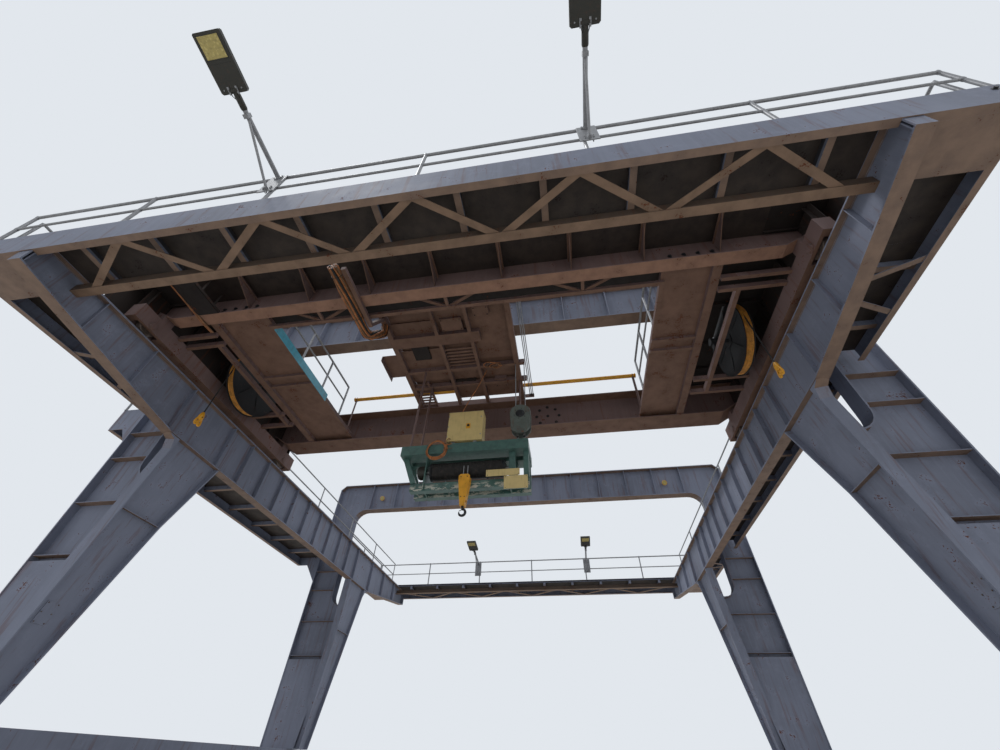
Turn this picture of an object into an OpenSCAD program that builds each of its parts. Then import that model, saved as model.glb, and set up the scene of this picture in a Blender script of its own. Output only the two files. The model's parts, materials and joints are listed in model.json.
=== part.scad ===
// Rubber tyred gantry crane
// Two portal frames carry two runway girders, a bridge rolls along the girders,
// a trolley rolls across the bridge and an underslung hoist lowers the hook.
// Origin on the ground in the middle of the crane, X across, Y along the runway, Z up.

/* [Main frame] */
// Half of the clear width between the runway girders
clear_half = 5000; // [4000:50:7000]
// Length of the crane over its end fascias
crane_length = 14900; // [12000:50:18000]
// Distance between the two portal frames
portal_spacing = 7450; // [6500:50:9000]
// Shift of the portal frames from the middle of the girders
portal_shift = -125; // [-400:25:400]
// Height of the girder underside above the ground
girder_bottom = 5555; // [4500:5:7000]
// Depth of the runway girder
girder_depth = 920; // [700:10:1200]
// Depth of the runway girder at its tips
girder_tip_depth = 450; // [300:10:700]
// Width of the girder bottom flange
girder_flange = 190; // [140:5:320]
// Height of the travel rail on the girder
rail_height = 55; // [40:5:80]
// Number of stiffener bays between the portals
girder_bays = 10; // [6:1:14]

/* [Portals] */
// Half of the width over the outer leg flanges
outer_half = 6550; // [6200:50:8000]
// Height of the arch top flange above the ground
arch_top = 8950; // [8800:50:11000]
// Depth of the arch beam
arch_depth = 970; // [600:10:970]
// Depth of the outer leg plate beside the walkway
outer_leg_depth = 800; // [500:10:950]
// Width of the portal flanges
portal_flange = 280; // [200:10:400]
// Outward shift of the inner leg per unit of drop
leg_splay = 0.15; // [0.08:0.01:0.18]
// Height where the inner and outer legs meet
leg_join = 5000; // [4600:50:5200]
// Height where the legs become a closed box
leg_box_top = 3740; // [3000:20:4200]

/* [Foot] */
// Diameter of the rubber tyre
tyre_d = 1250; // [900:10:1500]
// Width of the rubber tyre
tyre_w = 380; // [250:10:450]
// Underside of the sill beam above the ground
sill_bottom = 1360; // [1200:10:1600]
// Depth of the sill beam
sill_depth = 480; // [350:10:600]
// Width of the sill beam
sill_width = 560; // [400:10:700]
// Distance between the two tyres of one foot
tyre_pitch = 1500; // [1300:20:1800]

/* [Walkways] */
// Height of the deck above the ground
deck_z = 6460; // [6000:10:7600]
// Half of the width over the narrow walkways
narrow_half = 6180; // [5900:10:7000]
// Half of the width over the wide walkways
wide_half = 7330; // [7100:10:8400]
// Height of the fascia channel
fascia_height = 500; // [300:10:600]
// Height of the fascia top above the deck
fascia_up = 260; // [100:10:300]
// Width of the cross platforms at both ends
platform_width = 680; // [500:10:900]
// Height of the handrail above the fascia
handrail_up = 780; // [600:10:1000]
// Diameter of the handrail tube
handrail_d = 42; // [30:1:60]
// Distance between the joists under the decks
joist_pitch = 1000; // [600:50:1500]
// Length of one bay of the flat truss
truss_bay = 1900; // [1400:50:2400]

/* [Lamps] */
// Reach of a lamp from the handrail to its tip
lamp_reach = 1625; // [1200:25:2200]
// Length of the lamp head
lamp_head_l = 610; // [400:10:700]
// Width of the lamp head
lamp_head_w = 340; // [200:10:400]
// Distance of the lamps from the middle
lamp_x = 2110; // [1500:10:3000]
// Upward slope of the rear lamps
lamp_tilt_rear = 9; // [0:1:20]
// Upward slope of the front lamps
lamp_tilt_front = 2.5; // [0:0.5:20]

/* [Bridge] */
// Position of the bridge along the runway
bridge_y = -3755; // [-4500:25:3000]
// Distance between the two bridge girders
bridge_gauge = 3805; // [3000:5:4500]
// Depth of the bridge girders
bridge_depth = 750; // [500:10:800]
// Width of the flanges of the near bridge girder
near_flange = 205; // [160:5:320]
// Width of the flanges of the far bridge girder
far_flange = 460; // [300:10:560]
// Inner edge of the right end tie
tie_in = 3170; // [3000:10:3400]
// Width of the right end tie
tie_w = 850; // [600:10:900]
// Inner edge of the left end tie
tie_left_in = 3240; // [3000:10:3400]
// Width of the left end tie
tie_left_w = 1010; // [600:10:1100]
// Diameter of the bridge wheels
bridge_wheel_d = 320; // [250:10:350]
// Diameter of the cable reels
reel_d = 1300; // [900:20:1500]
// Width of the walkway in front of the bridge
bridge_walk_w = 490; // [300:10:700]

/* [Trolley] */
// Position of the trolley along the bridge
trolley_x = -490; // [-1200:10:1200]
// Length of the trolley across the span
trolley_w = 2500; // [2000:50:2800]
// Length of the hoist frame
hoist_l = 2290; // [1800:10:2500]
// Depth of the hoist frame along the runway
hoist_w = 660; // [500:10:800]
// Top of the hoist frame above the ground
hoist_top = 5750; // [5500:10:6300]
// Height of the hoist frame
hoist_h = 820; // [780:10:860]
// Diameter of the rope drum
drum_d = 300; // [240:10:310]
// Height of the hook tip above the ground
hook_z = 4400; // [3900:10:4410]
// Width of the electric cabinet
cabinet_w = 660; // [400:10:800]
// Height of the electric cabinet
cabinet_h = 720; // [400:10:800]

/* [Hidden] */
eps = 1;
seat = 0.3;
plate = 16;
flange_t = 24;
half_len = crane_length / 2;
move_x = (wide_half - outer_half) / 2;
rail_y = half_len - 25;
move_y = (rail_y + lamp_reach - half_len) / 2;
front_y = portal_shift - portal_spacing / 2;
rear_y = portal_shift + portal_spacing / 2;
girder_x = clear_half + girder_flange / 2;
girder_in = girder_x - plate / 2 - seat;
girder_out = girder_x + plate / 2 + seat;
girder_side = clear_half + girder_flange + seat;
girder_end = half_len - 15;
girder_top = girder_bottom + girder_depth;
rail_top = girder_top + rail_height;
tip_bottom = girder_top - girder_tip_depth;
axle_z = tyre_d / 2 - 10;
leg_near = 400;
leg_haunch = 665;
leg_kink = 1230;
leg_kink_y = 375;
leg_foot_y = 20;
taper_front = front_y - leg_near - 200;
taper_rear = rear_y + leg_near + 200;
sill_top = sill_bottom + sill_depth;
lean = atan(leg_splay);
sill_x = (girder_x + leg_splay * (girder_bottom - sill_top) + outer_half) / 2;
corner_r = 380;
arch_under = arch_top - arch_depth;
leg_in_x = outer_half - outer_leg_depth;
arch_bays = 12;
fascia_t = 10;
fascia_flange = 90;
joist_h = 100;
fascia_bottom = deck_z + fascia_up - fascia_height;
fascia_top = deck_z + fascia_up;
chord_y = half_len - platform_width;
portal_gap = portal_flange / 2 + 6;
handrail_z = fascia_top + handrail_up;
rail_side_x = narrow_half - 25;
carriage_bottom = rail_top + 75;
carriage_top = 6900;
carriage_w = 220;
carriage_l = bridge_gauge + 900;
carriage_in = girder_x - carriage_w / 2 - seat;
bridge_top = carriage_top + bridge_depth;
bridge_near = bridge_y - bridge_gauge / 2;
bridge_far = bridge_y + bridge_gauge / 2;
bridge_end = girder_x + 380;
chamfer_x = girder_x - 295;
chamfer_h = 395;
tie_base = carriage_top + 20 + seat;
tie_plate = 80;
tie_rail_h = 830;
outrigger_z = carriage_top - 50;
reel_x = girder_x - 445;
reel_z = carriage_top + 250;
reel_y = bridge_y - 45;
reel_wound = 50;
pendant_end = 5950;
trolley_rail = 40;
trolley_base = bridge_top + trolley_rail + 10;
trolley_beam = 150;
pipe_z = trolley_base + trolley_beam + 50;
hoist_y = bridge_y + 830;
hoist_x = trolley_x + 250;
hanger_x = hoist_l / 2 - 130;
hanger_y = hoist_w / 2 - 80;
drum_y = hoist_y - 100;
drum_z = hoist_top - hoist_h / 2 - 25;
rope_d = 18;
rope_gap = 36;
hook_x = hoist_x + 60;
hook_y = drum_y - drum_d / 2 - rope_d / 2 - seat;
block_top = hook_z + 725;
block_bottom = hook_z + 175;
grey = [0.50, 0.51, 0.56];
brown = [0.45, 0.38, 0.37];
galv = [0.62, 0.62, 0.62];
green = [0.16, 0.28, 0.25];
cream = [0.80, 0.72, 0.48];
yellow = [0.85, 0.58, 0.08];
orange = [0.70, 0.36, 0.12];
dark = [0.10, 0.10, 0.11];
teal = [0.20, 0.55, 0.58];

function arc(cx, cy, r, a0, a1, n) =
    [for (i = [0:n]) [cx + r * cos(a0 + (a1 - a0) * i / n), cy + r * sin(a0 + (a1 - a0) * i / n)]];
function back(v) = [for (i = [len(v) - 1:-1:0]) v[i]];
function rise(y, from, to) = girder_bottom + (tip_bottom - girder_bottom) * (y - from) / (to - from);
function under(y) =
    y < taper_front ? rise(y, taper_front, -girder_end)
    : y > taper_rear ? rise(y, taper_rear, girder_end) : girder_bottom;
function leg_x(z) = girder_out + leg_splay * (girder_bottom - z);
function bridge_under(x) = carriage_top + chamfer_h * (x - chamfer_x) / (bridge_end - chamfer_x);

// Moves a piece from the middle of the girders to the origin, under the middle of the whole crane
module place() {
    translate([move_x, move_y, 0]) children();
}

// Outline in the YZ plane drawn out along X
module along_x(points, width) {
    rotate([90, 0, 90]) linear_extrude(height = width, center = true) polygon(points);
}

// Outline in the XZ plane drawn out along Y
module along_y(points, width) {
    rotate([90, 0, 0]) linear_extrude(height = width, center = true) polygon(points);
}

// Both halves of a piece that is the same on the left and the right
module both() {
    children();
    mirror([1, 0, 0]) children();
}

// A piece drawn for the front portal, at the front (-1) or turned to the rear (1)
module at_portal(s) {
    if (s < 0) {
        translate([0, front_y, 0]) children();
    } else {
        translate([0, rear_y, 0]) mirror([0, 1, 0]) children();
    }
}

// A piece drawn for the front end, at the front (-1) or turned to the rear (1)
module at_end(s) {
    if (s < 0) {
        children();
    } else {
        mirror([0, 1, 0]) children();
    }
}

// Box between two corners
module block(p, q) {
    translate(p) cube(q - p);
}

// Straight flat bar between two points
module bar(p, q, w, h) {
    d = q - p;
    l = norm(d);
    translate(p) rotate([0, acos(d[2] / l), atan2(d[1], d[0])])
        translate([-h / 2, -w / 2, 0]) cube([h, w, l]);
}

// Straight tube between two points
module rod(p, q, d) {
    v = q - p;
    l = norm(v);
    translate(p) rotate([0, acos(v[2] / l), atan2(v[1], v[0])]) cylinder(h = l, d = d, $fn = 24);
}

// Disc with its axis along X
module disc_x(p, d, w) {
    translate(p) rotate([0, 90, 0]) cylinder(h = w, d = d, center = true, $fn = 48);
}

// Disc with its axis along Y
module disc_y(p, d, w) {
    translate(p) rotate([90, 0, 0]) cylinder(h = w, d = d, center = true, $fn = 48);
}

// Handrail with two rails and posts between two points
module handrail(p, q, n, up) {
    top = [0, 0, up];
    rod(p + top, q + top, handrail_d);
    rod(p + top * 0.52, q + top * 0.52, handrail_d * 0.8);
    for (i = [0:n]) {
        rod(p + (q - p) * i / n, p + (q - p) * i / n + top, handrail_d);
    }
}

// Side fascia along Y with its web outside, flanges cut back by c0 and c1 at its ends
module fascia_y(x, y0, y1, c0, c1) {
    block([x - fascia_t, y0, fascia_bottom], [x, y1, fascia_top]);
    for (z = [fascia_bottom, fascia_top - 12]) {
        block([x - fascia_flange, y0 + c0, z], [x, y1 - c1, z + 12]);
    }
}

// Runway girder with tapered tips, stiffeners and travel rail
module girder() {
    lower = [[-girder_end, tip_bottom], [taper_front, girder_bottom], [taper_rear, girder_bottom],
        [girder_end, tip_bottom]];
    upper = [for (p = back(lower)) p + [0, flange_t]];
    rib = girder_flange / 2 - 8;
    bays = (portal_spacing - 1100) / girder_bays;
    color(grey) translate([girder_x, 0, 0]) {
        along_x(concat(lower, [[girder_end, girder_top], [-girder_end, girder_top]]), plate);
        along_x(concat(lower, upper), girder_flange);
        block([-girder_flange / 2, -girder_end, girder_top - flange_t],
            [girder_flange / 2, girder_end, girder_top]);
        block([-30, -girder_end + 100, girder_top - eps], [30, girder_end - 100, rail_top]);
        for (i = [0:girder_bays]) {
            y = front_y + 550 + i * bays;
            block([-rib, y - 6, girder_bottom + flange_t / 2], [rib, y + 6, girder_top - flange_t / 2]);
        }
        for (k = [0:3]) {
            f = 640 + k * (half_len + front_y - 700) / 3;
            r = 640 + k * (half_len - rear_y - 700) / 3;
            for (y = [front_y - f, rear_y + r]) {
                block([-rib, y - 6, under(y) + flange_t / 2], [rib, y + 6, girder_top - flange_t / 2]);
            }
        }
        for (s = [-1, 1]) {
            y = s * (girder_end - 8);
            block([-girder_flange / 2, y - 8, tip_bottom], [girder_flange / 2, y + 8, girder_top]);
        }
    }
}

module girder_left() {
    place() mirror([1, 0, 0]) girder();
}

module girder_right() {
    place() girder();
}

// Inner leg below the girder, with haunch towards the middle of the crane, cut to seat the outer leg
module leg() {
    drop = (girder_bottom - sill_top) / cos(lean) + 66;
    half = girder_flange / 2;
    web = [[-leg_near, 0], [-leg_near, -drop], [leg_foot_y, -drop], [leg_kink_y, -leg_kink], [leg_haunch, 0]];
    outside = [[-leg_near - 200, 0], [-leg_near - 60, -50], [-leg_near, -200], [-leg_near, -drop],
        [-leg_near + flange_t, -drop], [-leg_near + flange_t, 0]];
    haunch = [[leg_foot_y - flange_t, -drop], [leg_foot_y, -drop], [leg_kink_y, -leg_kink], [leg_haunch, 0],
        [leg_haunch - flange_t - 5, 0], [leg_kink_y - flange_t, -leg_kink]];
    face = -0.2;
    color(grey) difference() {
        translate([girder_x, 0, girder_bottom]) rotate([0, -lean, 0]) {
            along_x(web, plate);
            along_x(outside, girder_flange);
            along_x(haunch, girder_flange);
            block([-half + 8, -leg_near, -leg_kink - 6], [half - 8, leg_kink_y - 6, -leg_kink + 6]);
        }
        block([girder_x - 1000, -2000, sill_top - 1000], [girder_x + 2000, 2000, sill_top + seat]);
        block([girder_x - 1000, -2000, girder_bottom - seat], [girder_x + 2000, 2000, girder_bottom + 1000]);
        along_y([[leg_x(leg_join) + face, leg_join + seat], [outer_half, leg_join + seat],
            [outer_half, sill_top - 100], [leg_x(sill_top - 100) + face, sill_top - 100]],
            portal_flange + 2 * seat);
    }
}

module legs_front() {
    place() both() at_portal(-1) leg();
}

module legs_rear() {
    place() both() at_portal(1) leg();
}

// Arch beam of a portal, one half
module arch_half() {
    z = arch_under - corner_r;
    inner = concat([[-eps, arch_under]], arc(leg_in_x - corner_r, z, corner_r, 90, 0, 6));
    inner_o = concat([[-eps, arch_under + flange_t]],
        arc(leg_in_x - corner_r, z, corner_r + flange_t, 90, 0, 6));
    outer = [[-eps, arch_top], [outer_half - 160, arch_top], [outer_half, arch_top - 160], [outer_half, z]];
    along_y(concat(outer, back(inner)), plate);
    along_y(concat(outer, [[outer_half - flange_t, z], [outer_half - flange_t, arch_top - 170],
        [outer_half - 170, arch_top - flange_t], [-eps, arch_top - flange_t]]), portal_flange);
    along_y(concat(inner, back(inner_o)), portal_flange);
}

// Arch beam with its stiffeners
module arch() {
    rib_x = leg_in_x - corner_r - 70;
    rib_y = portal_flange / 2 - 10;
    color(grey) {
        both() arch_half();
        for (i = [0:arch_bays]) {
            x = rib_x * (2 * i / arch_bays - 1);
            block([x - 6, -rib_y, arch_under + 10], [x + 6, rib_y, arch_top - 10]);
        }
    }
}

module arch_front() {
    place() at_portal(-1) arch();
}

module arch_rear() {
    place() at_portal(1) arch();
}

// Outer leg plate of a portal, closed to a box at its lower part
module outer_leg() {
    top = arch_under - corner_r - seat;
    foot = sill_top + seat;
    rib_y = portal_flange / 2 - 10;
    low = arc(leg_in_x - 300, leg_join + 300, 300, 0, -90, 6);
    low_o = arc(leg_in_x - 300, leg_join + 300, 300 + flange_t, 0, -90, 6);
    color(grey) {
        along_y(concat([[outer_half, top], [outer_half, foot], [leg_x(foot), foot]],
            [[leg_x(leg_join), leg_join]], back(low), [[leg_in_x, top]]), plate);
        block([outer_half - flange_t, -portal_flange / 2, foot], [outer_half, portal_flange / 2, top]);
        along_y(concat([[leg_in_x, top]], low, [[leg_x(leg_join), leg_join]],
            [[leg_x(leg_join - flange_t), leg_join - flange_t]], back(low_o),
            [[leg_in_x + flange_t, top]]), portal_flange);
        for (z = [leg_join + 975, leg_join + 430]) {
            block([leg_in_x + 6, -rib_y, z], [outer_half - 18, rib_y, z + 12]);
        }
        for (z = [leg_join - 415, leg_box_top, leg_box_top - 90]) {
            block([leg_x(z) + 1, -rib_y, z], [outer_half - 12, rib_y, z + 12]);
        }
        wall = leg_box_top - 84;
        for (s = [-1, 1]) {
            translate([0, s * (portal_flange / 2 - 16), 0])
                along_y([[leg_x(wall), wall], [outer_half - 6, wall], [outer_half - 6, foot],
                    [leg_x(foot), foot]], 12);
        }
    }
}

module outer_legs_front() {
    place() both() at_portal(-1) outer_leg();
}

module outer_legs_rear() {
    place() both() at_portal(1) outer_leg();
}

// Sill beam along the runway with the wheel brackets of both feet
module sill() {
    reach = tyre_pitch / 2 + 350;
    color(grey) {
        block([sill_x - sill_width / 2, front_y - reach, sill_bottom],
            [sill_x + sill_width / 2, rear_y + reach, sill_top]);
        low = tyre_d / 2 - 130;
        for (p = [front_y, rear_y], k = [-1, 1], s = [-1, 1]) {
            translate([sill_x + s * (tyre_w / 2 + 45), p + k * tyre_pitch / 2, 0])
                along_x([[-260, sill_bottom + eps], [-130, low], [130, low], [260, sill_bottom + eps]], 40);
        }
    }
}

module sills() {
    place() both() sill();
}

// Rubber tyres, pressed flat where they stand
module tyres() {
    profile = [[tyre_d * 0.27, 20], [tyre_d * 0.45, 0], [tyre_d * 0.5, 50], [tyre_d * 0.5, tyre_w - 50],
        [tyre_d * 0.45, tyre_w], [tyre_d * 0.27, tyre_w - 20]];
    color(dark) place() both() difference() {
        for (p = [front_y, rear_y], k = [-1, 1]) {
            translate([sill_x - tyre_w / 2, p + k * tyre_pitch / 2, axle_z]) rotate([0, 90, 0])
                rotate_extrude($fn = 48) polygon(profile);
        }
        block([sill_x - tyre_w, front_y - tyre_pitch, -100], [sill_x + tyre_w, rear_y + tyre_pitch, 0]);
    }
}

// Rims and axles
module rims() {
    color(grey) place() both() for (p = [front_y, rear_y], k = [-1, 1]) {
        c = [sill_x, p + k * tyre_pitch / 2, axle_z];
        difference() {
            disc_x(c, tyre_d * 0.54 - 2 * seat, tyre_w - 40);
            for (s = [-1, 1]) {
                disc_x(c + [s * tyre_w / 2, 0, 0], tyre_d * 0.46, tyre_w - 160);
            }
        }
        disc_x(c, 150, tyre_w + 50 - 2 * seat);
    }
}

// Cross platform at one end: deck, fascia and joists
module platform() {
    inner = clear_half - seat;
    edge = narrow_half - fascia_t - seat;
    y0 = -half_len + fascia_t - 2;
    color(grey) {
        block([-narrow_half, -half_len, fascia_bottom], [narrow_half, -half_len + fascia_t, fascia_top]);
        block([-edge, -half_len, fascia_top - 12], [edge, -half_len + fascia_flange, fascia_top]);
        block([-inner, -half_len, fascia_bottom], [inner, -half_len + fascia_flange, fascia_bottom + 12]);
        block([-inner, y0, deck_z], [inner, y0 + platform_width + 42, deck_z + 10]);
        both() {
            block([girder_side, -half_len, fascia_bottom],
                [edge, -half_len + fascia_flange, fascia_bottom + 12]);
            block([girder_side, y0, deck_z], [edge, y0 + platform_width + 900, deck_z + 10]);
        }
        for (x = [-4.5 * joist_pitch:joist_pitch:4.5 * joist_pitch]) {
            block([x - 40, y0, deck_z - joist_h + eps], [x + 40, y0 + platform_width + 32, deck_z + eps]);
        }
    }
}

module platform_front() {
    place() platform();
}

module platform_rear() {
    place() at_end(1) platform();
}

// Horizontal truss under the cross platform
module lattice() {
    z = fascia_bottom + 12 + 6 + seat;
    w = girder_in - seat;
    y = -chord_y - 60;
    color(grey) {
        block([-w, y, fascia_bottom], [w, y + 120, fascia_bottom + 14]);
        block([-w, y, fascia_bottom], [w, y + 12, fascia_bottom + joist_h + 40 - eps]);
        for (i = [-2.5:1:2.5]) {
            x = i * truss_bay;
            if (i > -2.5) {
                bar([x, -chord_y, z], [x - truss_bay / 2, -half_len + 60, z], 90, 12);
            }
            if (i < 2.5) {
                bar([x, -chord_y, z], [x + truss_bay / 2, -half_len + 60, z], 90, 12);
            }
        }
    }
}

module lattice_front() {
    place() lattice();
}

module lattice_rear() {
    place() at_end(1) lattice();
}

// Side walkway outside the portals, at one end
module walkway_end(s) {
    portal = s < 0 ? -front_y : rear_y;
    edge = narrow_half - fascia_t - seat;
    start = half_len - fascia_t - seat;
    deck_end = half_len - fascia_t + 2 - platform_width - 900 - seat;
    at_end(s) {
        fascia_y(narrow_half, -start, -portal - portal_gap, fascia_flange - fascia_t, 0);
        block([girder_side, -deck_end, deck_z], [edge, -portal - portal_gap, deck_z + 10]);
        block([girder_side, -portal - portal_gap - 1, deck_z], [leg_in_x - 6, -portal, deck_z + 10]);
        block([girder_side, -half_len + fascia_flange + seat, fascia_bottom],
            [edge, -half_len + 650, fascia_bottom + 10]);
        z = fascia_bottom + 12 + 5;
        for (y = [-deck_end + joist_pitch * 0.5:joist_pitch:-portal - joist_pitch * 0.6]) {
            bar([girder_side + 20, y, z], [narrow_half - 50, y - joist_pitch * 0.41, z], 80, 12);
            bar([girder_side + 20, y + 40, z], [narrow_half - 50, y + joist_pitch * 0.45, z], 80, 12);
        }
        for (y = [-deck_end + joist_pitch * 0.3:joist_pitch:-portal - joist_pitch * 0.3]) {
            block([girder_side, y - 40, deck_z - joist_h + eps], [edge, y + 40, deck_z + eps]);
        }
    }
}

// Side walkway between the portals, its fascia at the distance x1
module walkway_mid(x1) {
    edge = x1 - fascia_t;
    block([girder_side, front_y + portal_gap, deck_z], [edge, rear_y - portal_gap, deck_z + 10]);
    block([girder_side, front_y - eps, deck_z], [leg_in_x - 6, front_y + portal_gap + 1, deck_z + 10]);
    block([girder_side, rear_y - portal_gap - 1, deck_z], [leg_in_x - 6, rear_y + eps, deck_z + 10]);
    for (i = [-3:3]) {
        y = portal_shift + i * joist_pitch;
        block([girder_side, y - 40, deck_z - joist_h + eps], [edge, y + 40, deck_z + eps]);
    }
}

// Wide walkway with its end plates and brackets outside the outer legs
module walkway_wide() {
    walkway_mid(wide_half);
    fascia_y(wide_half, front_y, rear_y, 0, 0);
    for (s = [-1, 1]) {
        y = s < 0 ? front_y : rear_y;
        block([outer_half + seat, y - 5 - 5 * s, fascia_bottom], [wide_half, y + 5 - 5 * s, fascia_top]);
        block([outer_half + seat, s < 0 ? y : y - portal_gap - 10, deck_z],
            [wide_half - 5, s < 0 ? y + portal_gap + 10 : y, deck_z + 10]);
        translate([0, y - 7 * s, 0])
            along_y([[outer_half + seat, fascia_bottom + 1], [outer_half + 450, fascia_bottom + 1],
                [outer_half + seat, fascia_bottom - 600]], 14);
    }
}

module walkway_left() {
    color(grey) place() mirror([1, 0, 0]) {
        walkway_end(-1);
        walkway_end(1);
        walkway_wide();
    }
}

module walkway_right() {
    color(grey) place() {
        walkway_end(-1);
        walkway_end(1);
        walkway_mid(narrow_half);
        fascia_y(narrow_half, front_y + portal_gap, rear_y - portal_gap, 0, 0);
    }
}

// Handrail over the fascia of a cross platform
module rail_end() {
    x = narrow_half - 30;
    z = fascia_top + seat;
    color(galv) handrail([-x, -rail_y, z], [x, -rail_y, z], 6, handrail_up);
}

module rail_front() {
    place() rail_end();
}

module rail_rear() {
    place() at_end(1) rail_end();
}

// Handrails of one side outside the portals
module rail_outer() {
    z = fascia_top + seat;
    x = rail_side_x;
    handrail([x, -half_len + 120, z], [x, front_y - 220, z], 2, handrail_up);
    handrail([x, half_len - 120, z], [x, rear_y + 220, z], 2, handrail_up);
}

module rail_left() {
    z = fascia_top + seat;
    x = wide_half - 25;
    color(galv) place() mirror([1, 0, 0]) {
        rail_outer();
        handrail([x, front_y + 5, z], [x, rear_y - 5, z], 4, handrail_up);
        for (y = [front_y + 5, rear_y - 5]) {
            handrail([outer_half + 60, y, z], [x, y, z], 1, handrail_up);
        }
    }
}

module rail_right() {
    z = fascia_top + seat;
    x = rail_side_x;
    color(galv) place() {
        rail_outer();
        handrail([x, front_y + 220, z], [x, rear_y - 220, z], 3, handrail_up);
    }
}

// Lamp on an arm from a plate that is clamped to the handrail
module lamp(tilt) {
    y0 = -handrail_d / 2 - seat;
    tip = (lamp_reach + y0 - 12 - 35 * sin(tilt)) / cos(tilt);
    arm = tip - lamp_head_l;
    color(galv) {
        block([-120, y0 - 12, -520], [120, y0, 0]);
        translate([0, y0 - 12, -60]) rotate([-tilt, 0, 0]) {
            rod([0, 6, 0], [0, -arm - 60, 0], 60);
            block([-lamp_head_w / 2, -tip, -35], [lamp_head_w / 2, -arm, 35]);
        }
        rod([0, y0 - 6, -460], [0, y0 - 0.76 * arm, -60 + 0.74 * arm * sin(tilt)], 34);
    }
}

module lamps_front() {
    place() both() translate([lamp_x, -rail_y, handrail_z]) lamp(lamp_tilt_front);
}

module lamps_rear() {
    place() both() translate([lamp_x, rail_y, handrail_z]) lamp(lamp_tilt_rear);
}

// Bridge girder with chamfered ends and a rail for the trolley
module bridge_girder(y, flange) {
    lower = [[-bridge_end, bridge_under(bridge_end)], [-chamfer_x, carriage_top], [chamfer_x, carriage_top],
        [bridge_end, bridge_under(bridge_end)]];
    upper = [for (p = back(lower)) p + [0, 20]];
    color(brown) translate([0, y, 0]) {
        along_y(concat(lower, [[bridge_end, bridge_top], [-bridge_end, bridge_top]]), plate);
        along_y(concat(lower, upper), flange);
        block([-bridge_end, -flange / 2, bridge_top - 20], [bridge_end, flange / 2, bridge_top]);
        block([-tie_in - tie_w, -25, bridge_top - eps], [tie_in + tie_w, 25, bridge_top + trolley_rail]);
    }
}

module bridge_front() {
    place() bridge_girder(bridge_near, near_flange);
}

module bridge_rear() {
    place() bridge_girder(bridge_far, far_flange);
}

// Walkway in front of the near bridge girder
module bridge_walkway() {
    y0 = bridge_near - plate / 2 - seat;
    y1 = bridge_near - near_flange / 2 - bridge_walk_w;
    z = bridge_top - 250;
    color(brown) place() {
        block([-4700, y1, z], [4700, y0, z + 10]);
        block([-4700, y1, z - 60], [4700, y1 + 12, z + 110]);
        for (i = [-4:4]) {
            x = i * 1075 - 300;
            along = [[y0, z + 2], [y0, z - 320], [y1 + 12, z - 70], [y1 + 12, z + 2]];
            translate([x, 0, 0]) along_x(along, 12);
            block([x - 35, y1, z - 80], [x + 35, y0, z - 68]);
        }
    }
}

// Flat truss behind the near bridge girder
module bridge_truss() {
    y0 = bridge_near + plate / 2 + seat;
    y1 = bridge_near + 322;
    z = carriage_top + 50;
    color(brown) place() {
        block([-tie_left_in - 50, y1 - 30, z - 30], [tie_in + 50, y1 + 30, z + 30]);
        for (x = [-2300:2150:2000]) {
            for (s = [-1, 1]) {
                bar([x, y1, z], [x + s * 760, y0 + 40, z + 150], 50, 30);
                bar([x + s * 760, y0 + 60, z + 150], [x + s * 760, y0, z + 150], 50, 30);
            }
            block([x - 25, y0, z - 20], [x + 25, y1, z + 20]);
        }
    }
}

// End carriages on the runway girders
module carriage() {
    w = carriage_w / 2;
    color(brown) difference() {
        union() {
            block([girder_x - w, bridge_y - carriage_l / 2, carriage_bottom],
                [girder_x + w, bridge_y + carriage_l / 2, carriage_top - seat]);
            for (y = [bridge_near, bridge_far]) {
                translate([0, y, 0]) along_y([[girder_x - w, carriage_top - 20],
                    [girder_x + w, carriage_top - 20], [girder_x + w, bridge_under(girder_x + w) - 0.4],
                    [girder_x - w, bridge_under(girder_x - w) - 0.4]], near_flange);
            }
        }
        for (s = [-1, 1]) {
            y = bridge_y + s * (carriage_l / 2 - 320);
            block([girder_x - 60, y - bridge_wheel_d / 2 - 50, carriage_bottom - 10],
                [girder_x + 60, y + bridge_wheel_d / 2 + 50, carriage_top - 30]);
        }
    }
}

module carriages() {
    place() both() carriage();
}

// Travel wheels of the bridge
module bridge_wheels() {
    color(dark) place() both() for (s = [-1, 1]) {
        c = [girder_x, bridge_y + s * (carriage_l / 2 - 320), rail_top + bridge_wheel_d / 2 + seat];
        disc_x(c, bridge_wheel_d, 90);
        disc_x(c, 80, 120 - 2 * seat);
    }
}

// End tie between the bridge girders from x0 to x1
module tie(x0, x1) {
    y0 = bridge_near + plate / 2 + seat;
    y1 = bridge_far - plate / 2 - seat;
    z = tie_base + tie_plate;
    color(brown) {
        block([x0, y0, z], [x1, y1, z + 10]);
        block([x1 - 130, y0, tie_base], [x1, y1, tie_base + 260]);
        block([x0, y0, z - 20], [x0 + 12, y1, z + 60]);
        block([x0, y0, z - 20], [x0 + 60, y1, z - 10]);
        for (y = [bridge_y - 380, bridge_y - 130]) {
            block([x0, y - 30, z - 60], [x1 - 120, y + 30, z + 5]);
        }
        for (y = [y0, y1 - 80]) {
            block([x0, y, tie_base], [x1, y + 80, z + 5]);
        }
    }
}

module ties() {
    place() {
        tie(tie_in, tie_in + tie_w);
        mirror([1, 0, 0]) tie(tie_left_in, tie_left_in + tie_left_w);
    }
}

// Bars from a tie to the end carriage, joined by a bar along the runway
module outrigger(x0, xb) {
    h = 90;
    color(brown) {
        for (dy = [-1580, -1375, 620, 980]) {
            y = bridge_y + dy;
            block([x0 + seat, y - 30, outrigger_z], [carriage_in, y + 30, outrigger_z + h]);
        }
        block([xb - 35, bridge_y - 1390, outrigger_z], [xb + 35, bridge_y + 990, outrigger_z + h]);
    }
}

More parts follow.
